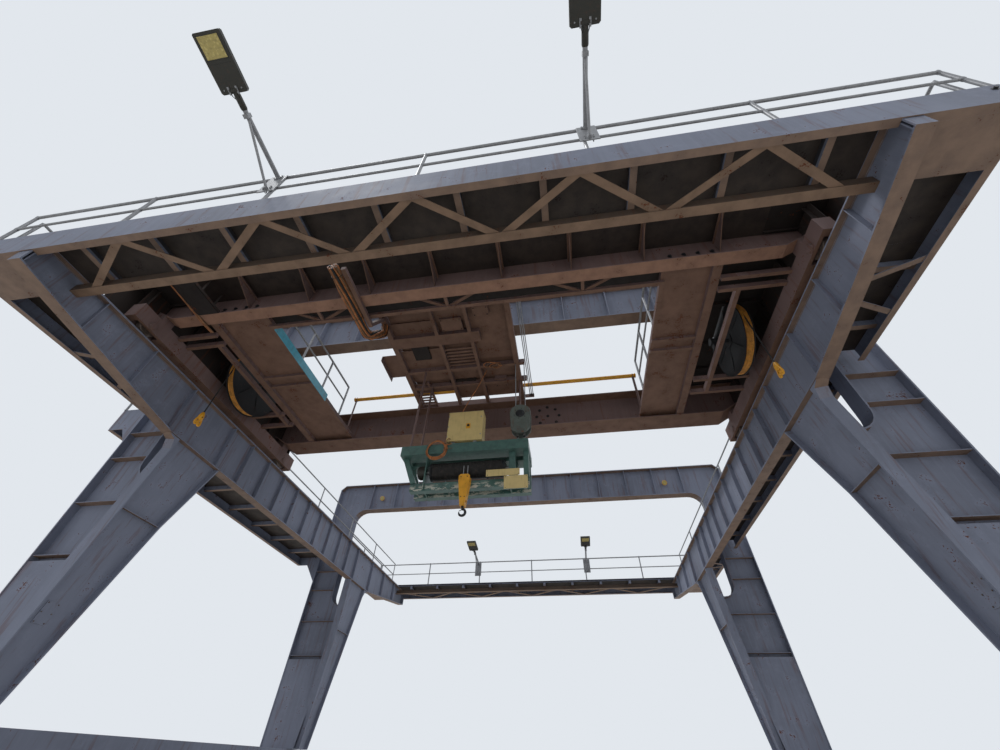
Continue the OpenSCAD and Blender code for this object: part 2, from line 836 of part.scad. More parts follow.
module outriggers() {
    place() {
        outrigger(tie_in + tie_w, tie_in + tie_w + 290);
        mirror([1, 0, 0]) outrigger(tie_left_in + tie_left_w, tie_left_in + tie_left_w + 110);
    }
}

// Handrails on the inner edges of the ties
module bridge_rails() {
    z = tie_base + tie_plate + 60 + seat;
    color(galv) place() {
        for (x = [tie_in + 30, -tie_left_in - 30]) {
            handrail([x, bridge_near + 450, z], [x, bridge_far - 900, z], 3, tie_rail_h);
        }
    }
}

// Guard pipe between the ties, on a post at each end
module guard_pipe() {
    y = bridge_far - 440;
    color(yellow) place() {
        rod([-tie_left_in - 60, y, pipe_z], [tie_in + 60, y, pipe_z], 80);
        for (x = [-tie_left_in - 60, tie_in + 60]) {
            rod([x, y, tie_base + tie_plate + 10 + seat], [x, y, pipe_z + 40], 60);
        }
    }
}

// Panel on the inner edge of the left tie
module side_panel() {
    x = -tie_left_in + seat;
    y = bridge_near + bridge_gauge * 0.6;
    color(teal) place() block([x, bridge_near + 380, tie_base + 20], [x + 12, y, tie_base + 190]);
}

// Cable reel on a bearing post
module reel(xb) {
    c = [reel_x, reel_y, reel_z];
    color(dark) {
        disc_x(c, reel_d - 2 * reel_wound, 110);
        for (s = [-1, 1]) {
            disc_x(c + [s * 59, 0, 0], reel_d, 10);
        }
        disc_x(c, 260, 170);
        rod([xb, reel_y, reel_z], [reel_x, reel_y, reel_z], 70);
        block([xb - 50, reel_y - 60, outrigger_z + 90 + seat], [xb + 50, reel_y + 60, reel_z + 70]);
    }
}

module reels() {
    place() {
        reel(tie_in + tie_w + 290);
        mirror([1, 0, 0]) reel(tie_left_in + tie_left_w + 110);
    }
}

// Pendant rope of a reel with its grip block
module pendants() {
    y = reel_y - reel_d / 2 + reel_wound - 8 - seat;
    color(yellow) place() both() {
        rod([reel_x, y, pendant_end - 30], [reel_x, y, reel_z], 16);
        hull() {
            disc_x([reel_x, y, pendant_end - 60], 80, 60);
            disc_x([reel_x, y, pendant_end - 210], 120, 60);
        }
    }
}

// Trolley frame on the bridge rails
module trolley_frame() {
    y0 = bridge_near;
    y1 = bridge_far;
    z = trolley_base;
    w = trolley_w / 2;
    color(brown) place() translate([trolley_x, 0, 0]) {
        for (x = [-w + 50, w - 50]) {
            block([x - 50, y0 - 150, z], [x + 50, y1 + 150, z + trolley_beam]);
        }
        for (x = [-260, 395]) {
            block([x - 35, y0 + 120, z], [x + 35, y1 - 120, z + 120]);
        }
        for (y = [y0 - 145, y0 + 80, y1 - 145, y1 + 80]) {
            block([-w + 50, y, z], [w - 50, y + 65, z + trolley_beam]);
        }
        block([-w + 50, bridge_y - 410, z], [580, bridge_y - 150, z + 130]);
        for (y = [hoist_y - hanger_y, hoist_y + hanger_y]) {
            block([-w + 50, y - 35, z], [w + 115, y + 35, z + 110]);
        }
        block([-w, y0 + 1200, z + 110], [-260, y0 + 1650, z + 120]);
        block([-w, bridge_y + 20, z + 110], [-260, hoist_y + 120, z + 120]);
        block([-260, y0 + 650, z + 100], [395, y0 + 1250, z + 110]);
        block([395, y0 + 450, z + 110], [w - 50, hoist_y - 400, z + 120]);
        block([-260, hoist_y + 200, z + 100], [w - 50, y1 - 300, z + 110]);
        for (i = [0:7]) {
            y = bridge_y + 30 + i * 90;
            block([-260, y, z + 60], [395, y + 45, z + 75]);
        }
        for (i = [0:8]) {
            y = hoist_y + 160 + i * 90;
            block([-w + 50, y, z + 60], [-w + 420, y + 45, z + 75]);
        }
        block([-w + 400, hoist_y + 100, z + 20], [-w + 440, y1 - 120, z + 90]);
        block([-w - 330, bridge_y + 60, z + 60], [-w + 20, bridge_y + 700, z + 72]);
        block([-w - 330, bridge_y + 60, z - 60], [-w - 318, bridge_y + 700, z + 72]);
        for (y = [y0 + 240, y1 - 250]) {
            block([w - 60, y, z], [w + 225, y + 20, z + 90]);
        }
        for (p = [[-hanger_x, -1], [-hanger_x, 1], [hanger_x - 60, 1]]) {
            x = hoist_x - trolley_x + p[0];
            y = hoist_y + p[1] * hanger_y;
            rod([x, y, hoist_top + seat], [x, y, z + 20], 44);
        }
        arm_z = carriage_top - 50;
        bar([-w + 250, bridge_near - 640, arm_z], [-w + 250, bridge_near + 460, arm_z], 70, 70);
        bar([-w + 250, bridge_near + 430, arm_z], [-w + 60, bridge_near + 1000, z + 40], 60, 60);
    }
}

// Wheels of the trolley
module trolley_wheels() {
    color(dark) place() for (s = [-1, 1], y = [bridge_near, bridge_far]) {
        c = [trolley_x + s * (trolley_w / 2 - 250), y, bridge_top + trolley_rail + 90];
        disc_y(c, 180, 70);
        disc_y(c, 60, 160 - 2 * seat);
    }
}

// Ropes along the right side of the trolley
module trolley_ropes() {
    x = trolley_x + trolley_w / 2;
    y0 = bridge_near + 260 + seat;
    y1 = bridge_far - 250 - seat;
    z = trolley_base + 45;
    color(galv) place() for (dx = [132, 167, 202]) {
        rod([x + dx, y0, z], [x + dx, y1, z], 20);
    }
}

// Cable bundle on the arm of the trolley, cable to the cabinet and spare loop on the hoist
module trolley_cables() {
    x = trolley_x - trolley_w / 2 + 115;
    z = carriage_top - 75;
    y = bridge_near;
    route = [[x, y - 700, z + 10], [x, y - 300, z], [x, y + 500, z], [x + 10, y + 760, z + 160],
        [x - 65, y + 1150, trolley_base - 200], [x - 65, y + 1150, trolley_base - seat]];
    color(orange) place() {
        for (i = [0:len(route) - 2]) {
            rod(route[i], route[i + 1], 130);
        }
        for (i = [1:len(route) - 2]) {
            translate(route[i]) sphere(d = 130, $fn = 24);
        }
        rod([hoist_x + 290, hoist_y - 120, trolley_base + 20],
            [hoist_x - 150, hoist_y - 200, hoist_top + cabinet_h + 3.2], 16);
        translate([hoist_x - 480, hoist_y - hoist_w / 2 - 28 - seat, hoist_top - 130]) rotate([90, 0, 0])
            rotate_extrude($fn = 48) translate([170, 0]) circle(d = 56, $fn = 16);
    }
}

// Underslung hoist frame of box beams with end posts and bearing plates
module hoist_frame() {
    l = hoist_l / 2;
    w = hoist_w / 2;
    top = 190;
    low = 140;
    color(green) place() translate([hoist_x, hoist_y, hoist_top - hoist_h]) {
        for (s = [-1, 1]) {
            translate([0, s * (w - 131), 0]) block([-l, -131, hoist_h - top], [l, 131, hoist_h]);
            translate([0, s * (w - 205), 0]) block([-l + 230, -55, 0], [l - 10, 55, low]);
            translate([0, s * (w - 160), 0]) {
                mid = hoist_h - top + eps;
                along_y([[-l + 20, mid], [-l + 230, low - eps], [-l + 330, low - eps], [-l + 120, mid]], 80);
                block([l - 330, -60, low - eps], [l - 240, 60, mid]);
                block([l - 100, -60, low - eps], [l - 10, 60, mid]);
            }
        }
        for (x = [-l + 460, l - 350]) {
            block([x, -w + 110, 10], [x + 20, w - 110, hoist_h - top + eps]);
        }
        for (x = [-l, l - 120]) {
            block([x, -w + 200, hoist_h - top + 20], [x + 120, w - 200, hoist_h - 10]);
        }
    }
}

// Rope drum with its flanges, shaft and motor
module hoist_drum() {
    x0 = hoist_x - hoist_l / 2 + 480 + seat;
    x1 = hoist_x + hoist_l / 2 - 350 - seat;
    m = (x0 + x1) / 2;
    color(dark) place() {
        disc_x([m, drum_y, drum_z], drum_d, x1 - x0 - 160);
        disc_x([m, drum_y, drum_z], 80, x1 - x0);
        for (s = [-1, 1]) {
            disc_x([m + s * ((x1 - x0) / 2 - 80), drum_y, drum_z], drum_d + 20, 20);
        }
        disc_x([x0 - 20 - 75 - 2 * seat, drum_y, drum_z], drum_d * 0.8, 150);
    }
}

// Electric cabinet on the hoist frame
module cabinet() {
    x = hoist_x - 15;
    y = hoist_y - hoist_w / 2 + 20;
    color(cream) place() {
        block([x - cabinet_w / 2, y, hoist_top + 60], [x + cabinet_w / 2, y + 250, hoist_top + cabinet_h]);
        for (s = [-1, 1]) {
            block([x + s * 200 - 30, y + 40, hoist_top + seat], [x + s * 200 + 30, y + 210, hoist_top + 61]);
        }
    }
}

// Sheave block at the right end of the hoist frame with its two falls of rope
module sheave_block() {
    x = hoist_x + hanger_x;
    y = hoist_y - hanger_y;
    z = hoist_top + 120;
    color(dark) place() {
        hull() {
            disc_y([x, y, z + 180], 360, 200);
            disc_y([x, y, z + 450], 390, 200);
        }
        disc_y([x, y, z + 430], 160, 260);
        for (s = [-1, 1]) {
            rod([x + s * 60, y, hoist_top + seat], [x + s * 60, y, z + 60], 40);
        }
    }
    color(galv) place() for (s = [-1, 1]) {
        rod([x + s * 90, y, z + 560], [x + s * 90, y, trolley_base - seat], 20);
    }
}

// Hook block, narrower towards the hook
module hook_block() {
    color(yellow) place() translate([hook_x, hook_y, 0])
        along_y([[-40, block_bottom], [40, block_bottom], [95, block_top - 120], [95, block_top - 20],
            [75, block_top], [-75, block_top], [-95, block_top - 20], [-95, block_top - 120]], 120);
}

// Hook with its shank
module hook() {
    r = 55;
    t = 38;
    c = hook_z + r + t / 2;
    color(dark) place() translate([hook_x, hook_y, 0]) {
        translate([0, 0, c + r - 10]) cylinder(h = block_bottom - seat - c - r + 10, d = 44, $fn = 32);
        translate([0, 0, c]) rotate([90, 0, 0]) rotate([0, 0, 150])
            rotate_extrude(angle = 300, $fn = 48) translate([r, 0]) circle(d = t, $fn = 24);
    }
}

// Falls of rope between the hoist drum and the hook block
module hook_ropes() {
    color(galv) place() for (s = [-1, 1]) {
        x = hook_x + s * rope_gap;
        rod([x, hook_y, block_top + seat], [x, hook_y, drum_z], rope_d);
    }
}

girder_left();
girder_right();
legs_front();
legs_rear();
arch_front();
arch_rear();
outer_legs_front();
outer_legs_rear();
sills();
tyres();
rims();
platform_front();
platform_rear();
lattice_front();
lattice_rear();
walkway_left();
walkway_right();
rail_front();
rail_rear();
rail_left();
rail_right();
lamps_front();
lamps_rear();
bridge_front();
bridge_rear();
bridge_walkway();
bridge_truss();
carriages();
bridge_wheels();
ties();
outriggers();
bridge_rails();
guard_pipe();
side_panel();
reels();
pendants();
trolley_frame();
trolley_wheels();
trolley_ropes();
trolley_cables();
hoist_frame();
hoist_drum();
cabinet();
sheave_block();
hook_block();
hook();
hook_ropes();
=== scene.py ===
"""Looks of a rubber tyred gantry crane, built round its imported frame."""

import json
import math

import bmesh
import bpy
from mathutils import Matrix, Vector


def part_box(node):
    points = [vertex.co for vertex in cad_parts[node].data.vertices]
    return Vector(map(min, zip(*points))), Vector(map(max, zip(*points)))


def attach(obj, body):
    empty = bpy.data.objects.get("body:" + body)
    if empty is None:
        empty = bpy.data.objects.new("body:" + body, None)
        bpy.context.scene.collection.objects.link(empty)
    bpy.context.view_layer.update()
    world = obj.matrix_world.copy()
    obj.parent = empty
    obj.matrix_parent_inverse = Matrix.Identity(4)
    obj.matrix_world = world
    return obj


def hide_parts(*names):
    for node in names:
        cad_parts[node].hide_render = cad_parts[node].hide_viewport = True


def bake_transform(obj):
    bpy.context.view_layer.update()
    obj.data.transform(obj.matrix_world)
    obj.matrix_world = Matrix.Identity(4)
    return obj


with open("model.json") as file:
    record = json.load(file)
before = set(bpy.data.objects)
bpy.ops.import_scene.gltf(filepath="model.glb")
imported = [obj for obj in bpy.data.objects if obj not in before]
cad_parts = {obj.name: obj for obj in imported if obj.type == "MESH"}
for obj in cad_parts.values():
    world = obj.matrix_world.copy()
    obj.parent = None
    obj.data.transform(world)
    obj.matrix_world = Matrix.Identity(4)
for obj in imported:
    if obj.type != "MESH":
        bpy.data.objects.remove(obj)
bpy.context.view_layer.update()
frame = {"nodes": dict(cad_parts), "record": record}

bl_info = {
    "name": "Rubber Tyred Gantry Crane",
    "version": (1, 0, 0),
    "blender": (4, 5, 0),
    "location": "View3D > Sidebar > Crane",
    "description": "Paint, ropes, lamps, wheels, hoist and fittings of a gantry crane on rubber tyres",
    "category": "Object",
}

GIRDERS = (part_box("girder_left"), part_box("girder_right"))
MIDDLE = Vector(((GIRDERS[0][0].x + GIRDERS[1][1].x) / 2, (GIRDERS[0][0].y + GIRDERS[0][1].y) / 2, 0))
X, Y, Z = Vector((1, 0, 0)), Vector((0, 1, 0)), Vector((0, 0, 1))
SIDES = (-1, 1)

# Places in metres from the middle between the runway girders, and heights above the ground.
GIRDER_X = 5.095  # webs of the runway girders
PORTALS = (-3.85, 3.60)  # webs of the front and rear arch
NEAR_Y, FAR_Y = -5.6575, -1.8525  # webs of the bridge's girders
BRIDGE_END = 5.46  # ends of the bridge
JOIST_END = 6.10  # ends of the joists under the platforms
SHADE_HEIGHT_FRAME, SHADE_HEIGHT_BRIDGE = 6.40, 7.38  # heights from which the undersides of decks are painted dark, as painted shade
RAIL_Y, RAIL_TOP = 7.425, 7.50  # handrails at the ends
HOIST_X, HOIST_Y, HOIST_TOP = -0.240, -2.925, 5.75  # middle of the hoist, and the top of its frame
SHEAVE_Z = HOIST_TOP + 0.55  # axle of the sheave block
TYRE_SINK = 0.01  # how far a tyre is pressed flat
AXLE_PITCH = 1.5  # between the two axles of a corner


def tone(red, green, blue):
    """A colour given as it looks on a screen, 0 to 255, as the linear colour that shaders take."""
    return tuple((c / 255 / 12.92) if c <= 10 else ((c / 255 + 0.055) / 1.055) ** 2.4 for c in (red, green, blue))


def at(x, y, z):
    """A point given in metres from the middle of the girders, in the row frame."""
    return Vector((x, y, z)) + MIDDLE


def middle(low, high):
    """The middle of a box in plan."""
    return (low.x + high.x) / 2, (low.y + high.y) / 2


def x_at(x):
    """The X of a point given from the middle of the girders."""
    return at(x, 0, 0).x


def y_at(y):
    """The Y of a point given from the middle of the girders."""
    return at(0, y, 0).y


def turns(count):
    """Even angles round a full turn."""
    return [math.tau * i / count for i in range(count)]


def spoke(angle):
    """The direction square to X that lies at an angle."""
    return Y * math.cos(angle) + Z * math.sin(angle)


def both_ways(half):
    """A profile from one side to the middle and on to the other side, alike on both."""
    return [(-out, radius) for out, radius in half] + [point for point in reversed(half) if point[0]]


def stretch(start, end, steps):
    """Even points from one end to the other."""
    start, end = Vector(start), Vector(end)
    return [start + (end - start) * i / steps for i in range(steps + 1)]


# ---------------------------------------------------------------- settings


def colour(name, description, default):
    """A colour setting with its default."""
    return bpy.props.FloatVectorProperty(
        name=name, description=description, subtype="COLOR", size=3, min=0.0, max=1.0, default=default
    )


def length(name, description, default):
    """A length setting in metres with its default."""
    return bpy.props.FloatProperty(name=name, description=description, unit="LENGTH", min=0.0, default=default)


def share(name, description, default):
    """A setting from 0 to 1 with its default."""
    return bpy.props.FloatProperty(
        name=name, description=description, subtype="FACTOR", min=0.0, max=1.0, default=default
    )


class CRANE_PG_paint(bpy.types.PropertyGroup):
    """Colours and wear of the painted and bare surfaces."""

    frame: colour("Frame paint", "Upright faces of the portals, girders and platforms", tone(125, 131, 149))
    # The two underside colours are painted shade and bounce light for faces that look down.
    frame_below: colour("Frame undersides", "Faces of the frame that look down", tone(134, 108, 88))
    bridge: colour("Bridge paint", "Upright faces of the bridge and the trolley", tone(116, 95, 92))
    bridge_below: colour("Bridge undersides", "Faces of the bridge and the trolley that look down", tone(118, 88, 71))
    zinc: colour("Zinc", "Handrails, lamp arms and wire ropes", tone(150, 151, 154))
    hoist: colour("Hoist paint", "Frame of the hoist", tone(70, 102, 95))
    yellow: colour("Safety yellow", "Hook block, guard pipe and grip blocks", tone(222, 158, 36))
    cream: colour("Cabinet paint", "Electric cabinet and bare plates", tone(205, 182, 124))
    teal: colour("Panel paint", "Panel on the left tie", tone(78, 160, 182))
    cable: colour("Cable sheath", "Cable bundle and coils", tone(176, 104, 46))
    rust: colour("Rust", "Rust at chips and edges", tone(112, 62, 38))
    wear: share("Wear", "How much rust and dirt the paint carries", 0.45)


class CRANE_PG_sizes(bpy.types.PropertyGroup):
    """Sizes of the fittings."""

    bolt: length("Bolt head", "Width of a bolt head across its flats", 0.036)
    weld: length("Weld", "Radius of a weld bead", 0.007)
    rope: length("Hoist rope", "Diameter of the rope at the hook", 0.018)
    pendant: length("Pendant rope", "Diameter of the rope at a cable reel", 0.022)
    lug: length("Tread depth", "Height of the lugs on a tyre", 0.018)
    lugs: bpy.props.IntProperty(name="Lugs", description="Lugs round one side of a tyre", min=8, max=60, default=30)


# ---------------------------------------------------------------- shader maths


class Value:
    """One socket of a shader tree, so that maths on it reads as Python."""

    def __init__(self, nodes, socket):
        self.nodes, self.socket = nodes, socket

    def maths(self, operation, *parts, **settings):
        return self.nodes.add("ShaderNodeMath", {"operation": operation, **settings}, dict(enumerate(parts)))

    def __add__(self, other):
        return self.maths("ADD", self, other)

    def __sub__(self, other):
        return self.maths("SUBTRACT", self, other)

    def __rsub__(self, other):
        return self.maths("SUBTRACT", other, self)

    def __mul__(self, other):
        return self.maths("MULTIPLY", self, other)

    __radd__, __rmul__ = __add__, __mul__

    def clamp(self):
        return self.maths("ADD", self, 0.0, use_clamp=True)

    def unsigned(self):
        return self.maths("ABSOLUTE", self)

    def wave(self):
        return self.maths("SINE", self)

    def larger(self, other):
        return self.maths("MAXIMUM", self, other)

    def step(self, edge, soft):
        """0 below the edge and 1 above it, with a soft change."""
        return self.nodes.add(
            "ShaderNodeMapRange",
            {"interpolation_type": "SMOOTHSTEP"},
            {"Value": self, "From Min": edge - soft, "From Max": edge + soft},
        )


class Nodes:
    """A tree of shader nodes in the making."""

    def __init__(self, tree):
        self.tree = tree

    def add(self, kind, settings=None, values=None, output=0):
        """Adds a node: its settings first, then the values or links of its sockets."""
        node = self.tree.nodes.new(kind)
        for key, value in (settings or {}).items():
            setattr(node, key, value)
        for key, value in (values or {}).items():
            self.join(node.inputs[key], value)
        return Value(self, node.outputs[output])

    def join(self, socket, value):
        """Links a value to a socket, or sets the socket."""
        if isinstance(value, Value):
            self.tree.links.new(value.socket, socket)
        elif socket.type == "RGBA":
            socket.default_value = (*value[:3], 1.0)
        else:
            socket.default_value = value


class Finish(Nodes):
    """A material in the making."""

    def __init__(self, name, **fixed):
        self.material = bpy.data.materials.new(name)
        self.material.use_nodes = True
        super().__init__(self.material.node_tree)
        self.shader = self.tree.nodes["Principled BSDF"]
        self.feed(**fixed)

    def feed(self, **values):
        """Sets or links the shader's own sockets; base_color stands for Base Color."""
        for key, value in values.items():
            self.join(self.shader.inputs[key.replace("_", " ").title().replace("Ior", "IOR")], value)

    def place(self, scale=(1, 1, 1), turn=(0, 0, 0)):
        point = self.add("ShaderNodeTexCoord", output="Object")
        return self.add("ShaderNodeMapping", None, {"Vector": point, "Scale": scale, "Rotation": turn})

    def noise(self, point, scale, detail=5.0, rough=0.55):
        return self.add(
            "ShaderNodeTexNoise", None, {"Vector": point, "Scale": scale, "Detail": detail, "Roughness": rough}
        )

    def cells(self, point, scale, output):
        return self.add("ShaderNodeTexVoronoi", {"feature": "F1"}, {"Vector": point, "Scale": scale}, output)

    def split(self, vector, axis):
        return self.add("ShaderNodeSeparateXYZ", None, {0: vector}, "XYZ".index(axis))

    def facing(self, axis="Z"):
        """How far the surface looks along an axis, from -1 to 1."""
        return self.split(self.add("ShaderNodeNewGeometry", output="Normal"), axis)

    def mix(self, first, second, factor):
        return self.add(
            "ShaderNodeMix", {"data_type": "RGBA", "blend_type": "MIX"}, {6: first, 7: second, 0: factor}, 2
        )

    def bump(self, height, strength=0.3, distance=0.004):
        self.feed(
            normal=self.add(
                "ShaderNodeBump", None, {"Height": height, "Strength": strength, "Distance": distance}
            )
        )


def shade(paint, factor):
    """A colour made darker or lighter."""
    return tuple(min(1.0, c * factor) for c in paint)


def weathered(name, face, below, dust, rust, wear, rough=0.5, shade_height=None):
    """Old paint on steel: clouds, run marks on upright faces, dust on top and rust at chips. Faces that look down take
    the warm underside colour, which is painted shade and bounce light.

    Where a height is given, faces above it that look down or along the span are painted darker still, as painted shade
    under a deck.
    """
    f = Finish(name, specular_ior_level=0.35)
    point = f.place()
    up = f.facing()
    upright = 1 - up.unsigned()
    cloud = f.noise(point, 0.55, 4.0)
    mottle = f.noise(point, 4.2, 7.0, 0.62)
    grain = f.noise(point, 46.0, 5.0, 0.6)
    runs = f.noise(f.place((7.0, 7.0, 0.5)), 1.9, 6.0, 0.6)
    paint = f.mix(face, shade(face, 0.78), cloud.step(0.52, 0.16))
    paint = f.mix(paint, shade(face, 1.16), mottle.step(0.58, 0.1) * 0.55)
    # Painted shade and bounce light: faces that look down take the warm underside colour.
    looks_down = (0 - up).step(0.5, 0.3)
    underside_shade = f.mix(below, shade(below, 0.72), mottle.step(0.5, 0.18))
    paint = f.mix(paint, underside_shade, looks_down * 0.92)
    paint = f.mix(paint, shade(rust, 0.8), runs.step(0.61, 0.07) * upright * (0.55 * wear + 0.1))
    paint = f.mix(paint, shade(face, 1.2), (1 - runs.step(0.42, 0.08)) * upright * 0.25)
    paint = f.mix(paint, dust, up.step(0.6, 0.3) * (mottle * 0.6 + 0.15))
    chips = (mottle * 0.62 + grain * 0.42).step(0.69 - 0.1 * wear, 0.025)
    paint = f.mix(paint, f.mix(rust, shade(rust, 0.5), grain), chips)
    # Painted shade under the decks: above the given height, faces that look down and the joists' side faces darken.
    if shade_height:
        inboard = 1 - (f.split(point, "X") - MIDDLE.x).unsigned().step(JOIST_END, 0.02)
        joist = f.facing("X").unsigned().step(0.7, 0.1) * inboard
        shade_mask = f.split(point, "Z").step(shade_height, 0.01) * (looks_down + joist).clamp()
        shade_colour = f.mix(tone(44, 38, 34), tone(30, 27, 26), mottle.step(0.5, 0.15))
        paint = f.mix(paint, shade_colour, shade_mask * 0.9)
    f.feed(base_color=paint, roughness=(mottle * 0.25 + (rough - 0.08) + chips * 0.3).clamp())
    tread = deck_pattern(f, point) * up.step(0.9, 0.05)
    f.bump(grain * 0.35 + mottle * 0.8 - chips * 0.5 + tread * 0.9, 0.32, 0.004)
    return f.material


def deck_pattern(f, point):
    """Raised almonds of a deck plate, crossing at right angles."""
    rows = []
    for turn in (math.pi / 4, -math.pi / 4):
        spot = f.add("ShaderNodeMapping", None, {"Vector": point, "Rotation": (0, 0, turn), "Scale": (42, 42, 42)})
        long, short = f.split(spot, "X"), f.split(spot, "Y")
        rows.append((long.wave() * 0.5 + (short * 3.0).wave() * 0.5).step(0.62, 0.16))
    return (rows[0] + rows[1]).clamp()


def plain_paint(name, paint, rust, rough=0.42, dirt=0.5, chip=0.68):
    """Newer paint with dirt, small chips and a fine orange peel."""
    f = Finish(name)
    point = f.place()
    mottle = f.noise(point, 7.0, 6.0, 0.6)
    grain = f.noise(point, 90.0, 3.0)
    runs = f.noise(f.place((20, 20, 2.0)), 1.6, 5.0)
    base = f.mix(paint, shade(paint, 0.62), mottle.step(0.55, 0.14) * dirt)
    base = f.mix(base, shade(rust, 0.7), runs.step(0.62, 0.08) * dirt * 0.6)
    chips = (mottle * 0.6 + grain * 0.42).step(chip, 0.02)
    base = f.mix(base, rust, chips)
    f.feed(base_color=base, roughness=(mottle * 0.2 + rough - 0.08 + chips * 0.3).clamp())
    f.bump(grain * 0.25 + mottle * 0.5 - chips * 0.6, 0.25, 0.002)
    return f.material


def peeled_paint(name, paint, under, rust):
    """Hoist paint that has peeled to a pale undercoat low on its front."""
    f = Finish(name, coat_roughness=0.3, coat_weight=0.15)
    point = f.place()
    mottle = f.noise(point, 9.0, 7.0, 0.62)
    torn = f.noise(f.place((1.0, 1.0, 2.6)), 6.5, 8.0, 0.7)
    grain = f.noise(point, 110.0, 3.0)
    low = 1 - f.split(f.place(), "Z").step(5.02, 0.05)
    front = (0 - f.facing("Y")).step(0.6, 0.2)
    base = f.mix(paint, shade(paint, 0.55), mottle.step(0.54, 0.14) * 0.7)
    base = f.mix(base, shade(paint, 1.7), grain.step(0.62, 0.06) * 0.35)
    peel = torn.step(0.52, 0.015) * low * front
    base = f.mix(base, f.mix(under, shade(under, 0.6), grain), peel)
    chips = (mottle * 0.6 + grain * 0.42).step(0.665, 0.02)
    base = f.mix(base, rust, chips)
    f.feed(base_color=base, roughness=(mottle * 0.25 + 0.3 + peel * 0.3 + chips * 0.3).clamp())
    f.bump(grain * 0.3 + mottle * 0.4 - peel * 0.6 - chips * 0.5, 0.3, 0.002)
    return f.material


def zinc_coat(name, paint, rust):
    """Dull zinc on steel tube: spangles, pale bloom and a few rusty runs."""
    f = Finish(name, specular_ior_level=0.5)
    point = f.place()
    spangle = f.cells(point, 70.0, "Color")
    bloom = f.noise(point, 5.0, 6.0, 0.6)
    fine = f.noise(point, 120.0, 3.0)
    base = f.mix(shade(paint, 0.72), paint, f.split(spangle, "X"))
    base = f.mix(base, shade(paint, 1.2), bloom.step(0.56, 0.12) * 0.6)
    base = f.mix(base, rust, (bloom * 0.7 + fine * 0.35).step(0.71, 0.02) * 0.6)
    f.feed(base_color=base, metallic=0.35 + bloom * 0.3, roughness=(bloom * 0.3 + 0.33).clamp())
    f.bump(fine * 0.4 + bloom * 0.5, 0.2, 0.001)
    return f.material


def dark_metal(name, paint, rust, rough=0.5, metallic=0.6):
    """Dark cast or rolled steel with grease and dust."""
    f = Finish(name)
    point = f.place()
    mottle = f.noise(point, 16.0, 6.0, 0.6)
    fine = f.noise(point, 140.0, 3.0)
    base = f.mix(paint, shade(paint, 2.4), mottle.step(0.6, 0.12) * 0.6)
    base = f.mix(base, shade(rust, 0.8), (mottle * 0.6 + fine * 0.4).step(0.62, 0.04) * 0.6)
    f.feed(base_color=base, metallic=metallic - mottle * 0.3, roughness=(mottle * 0.3 + rough - 0.1).clamp())
    f.bump(fine * 0.5 + mottle * 0.6, 0.3, 0.0015)
    return f.material


def rubber(name, paint, dust):
    """Tyre rubber: fine grain, scuffs and dust in the hollows."""
    f = Finish(name, specular_ior_level=0.3)
    point = f.place()
    scuff = f.noise(point, 9.0, 7.0, 0.65)
    fine = f.noise(point, 210.0, 3.0)
    base = f.mix(paint, dust, scuff.step(0.53, 0.14) * 0.55)
    f.feed(base_color=f.mix(base, shade(paint, 2.2), fine.step(0.6, 0.1) * 0.3), roughness=0.72 + scuff * 0.2)
    f.bump(fine * 0.4 + scuff * 0.7, 0.35, 0.0015)
    return f.material


def cable_sheath(name, paint, dust, rough=0.5):
    """Plastic cable sheath with faded patches, dust and tiny scratches."""
    f = Finish(name)
    point = f.place()
    patch = f.noise(point, 11.0, 5.0)
    fine = f.noise(point, 160.0, 3.0)
    base = f.mix(paint, shade(paint, 0.5), patch.step(0.5, 0.12) * 0.7)
    base = f.mix(base, dust, fine.step(0.58, 0.08) * 0.35)
    f.feed(base_color=base, roughness=(patch * 0.25 + rough - 0.05).clamp())
    f.bump(fine * 0.4 + patch * 0.3, 0.2, 0.001)
    return f.material


def lamp_glass(name, glass, glow):
    """Cover glass of a lamp with rows of lenses behind it."""
    f = Finish(name, coat_weight=0.6, coat_roughness=0.08)
    point = f.place((28, 28, 28))
    cell = f.cells(point, 1.0, "Distance")
    dust = f.noise(f.place(), 30.0, 5.0)
    base = f.mix(shade(glow, 1.1), glass, cell.step(0.34, 0.1))
    f.feed(base_color=f.mix(base, shade(glass, 0.6), dust.step(0.58, 0.1) * 0.6), roughness=0.2 + dust * 0.25)
    f.bump(1 - cell, 0.3, 0.003)
    return f.material


def floor_paint(name):
    """Pale floor with faint marks."""
    f = Finish(name, roughness=0.8)
    mark = f.noise(f.place(), 0.6, 3.0)
    f.feed(base_color=f.mix(tone(214, 214, 212), tone(206, 206, 204), mark))
    return f.material


PAINTS = {}
SHARP = math.radians(35)  # edges at a larger angle stay sharp


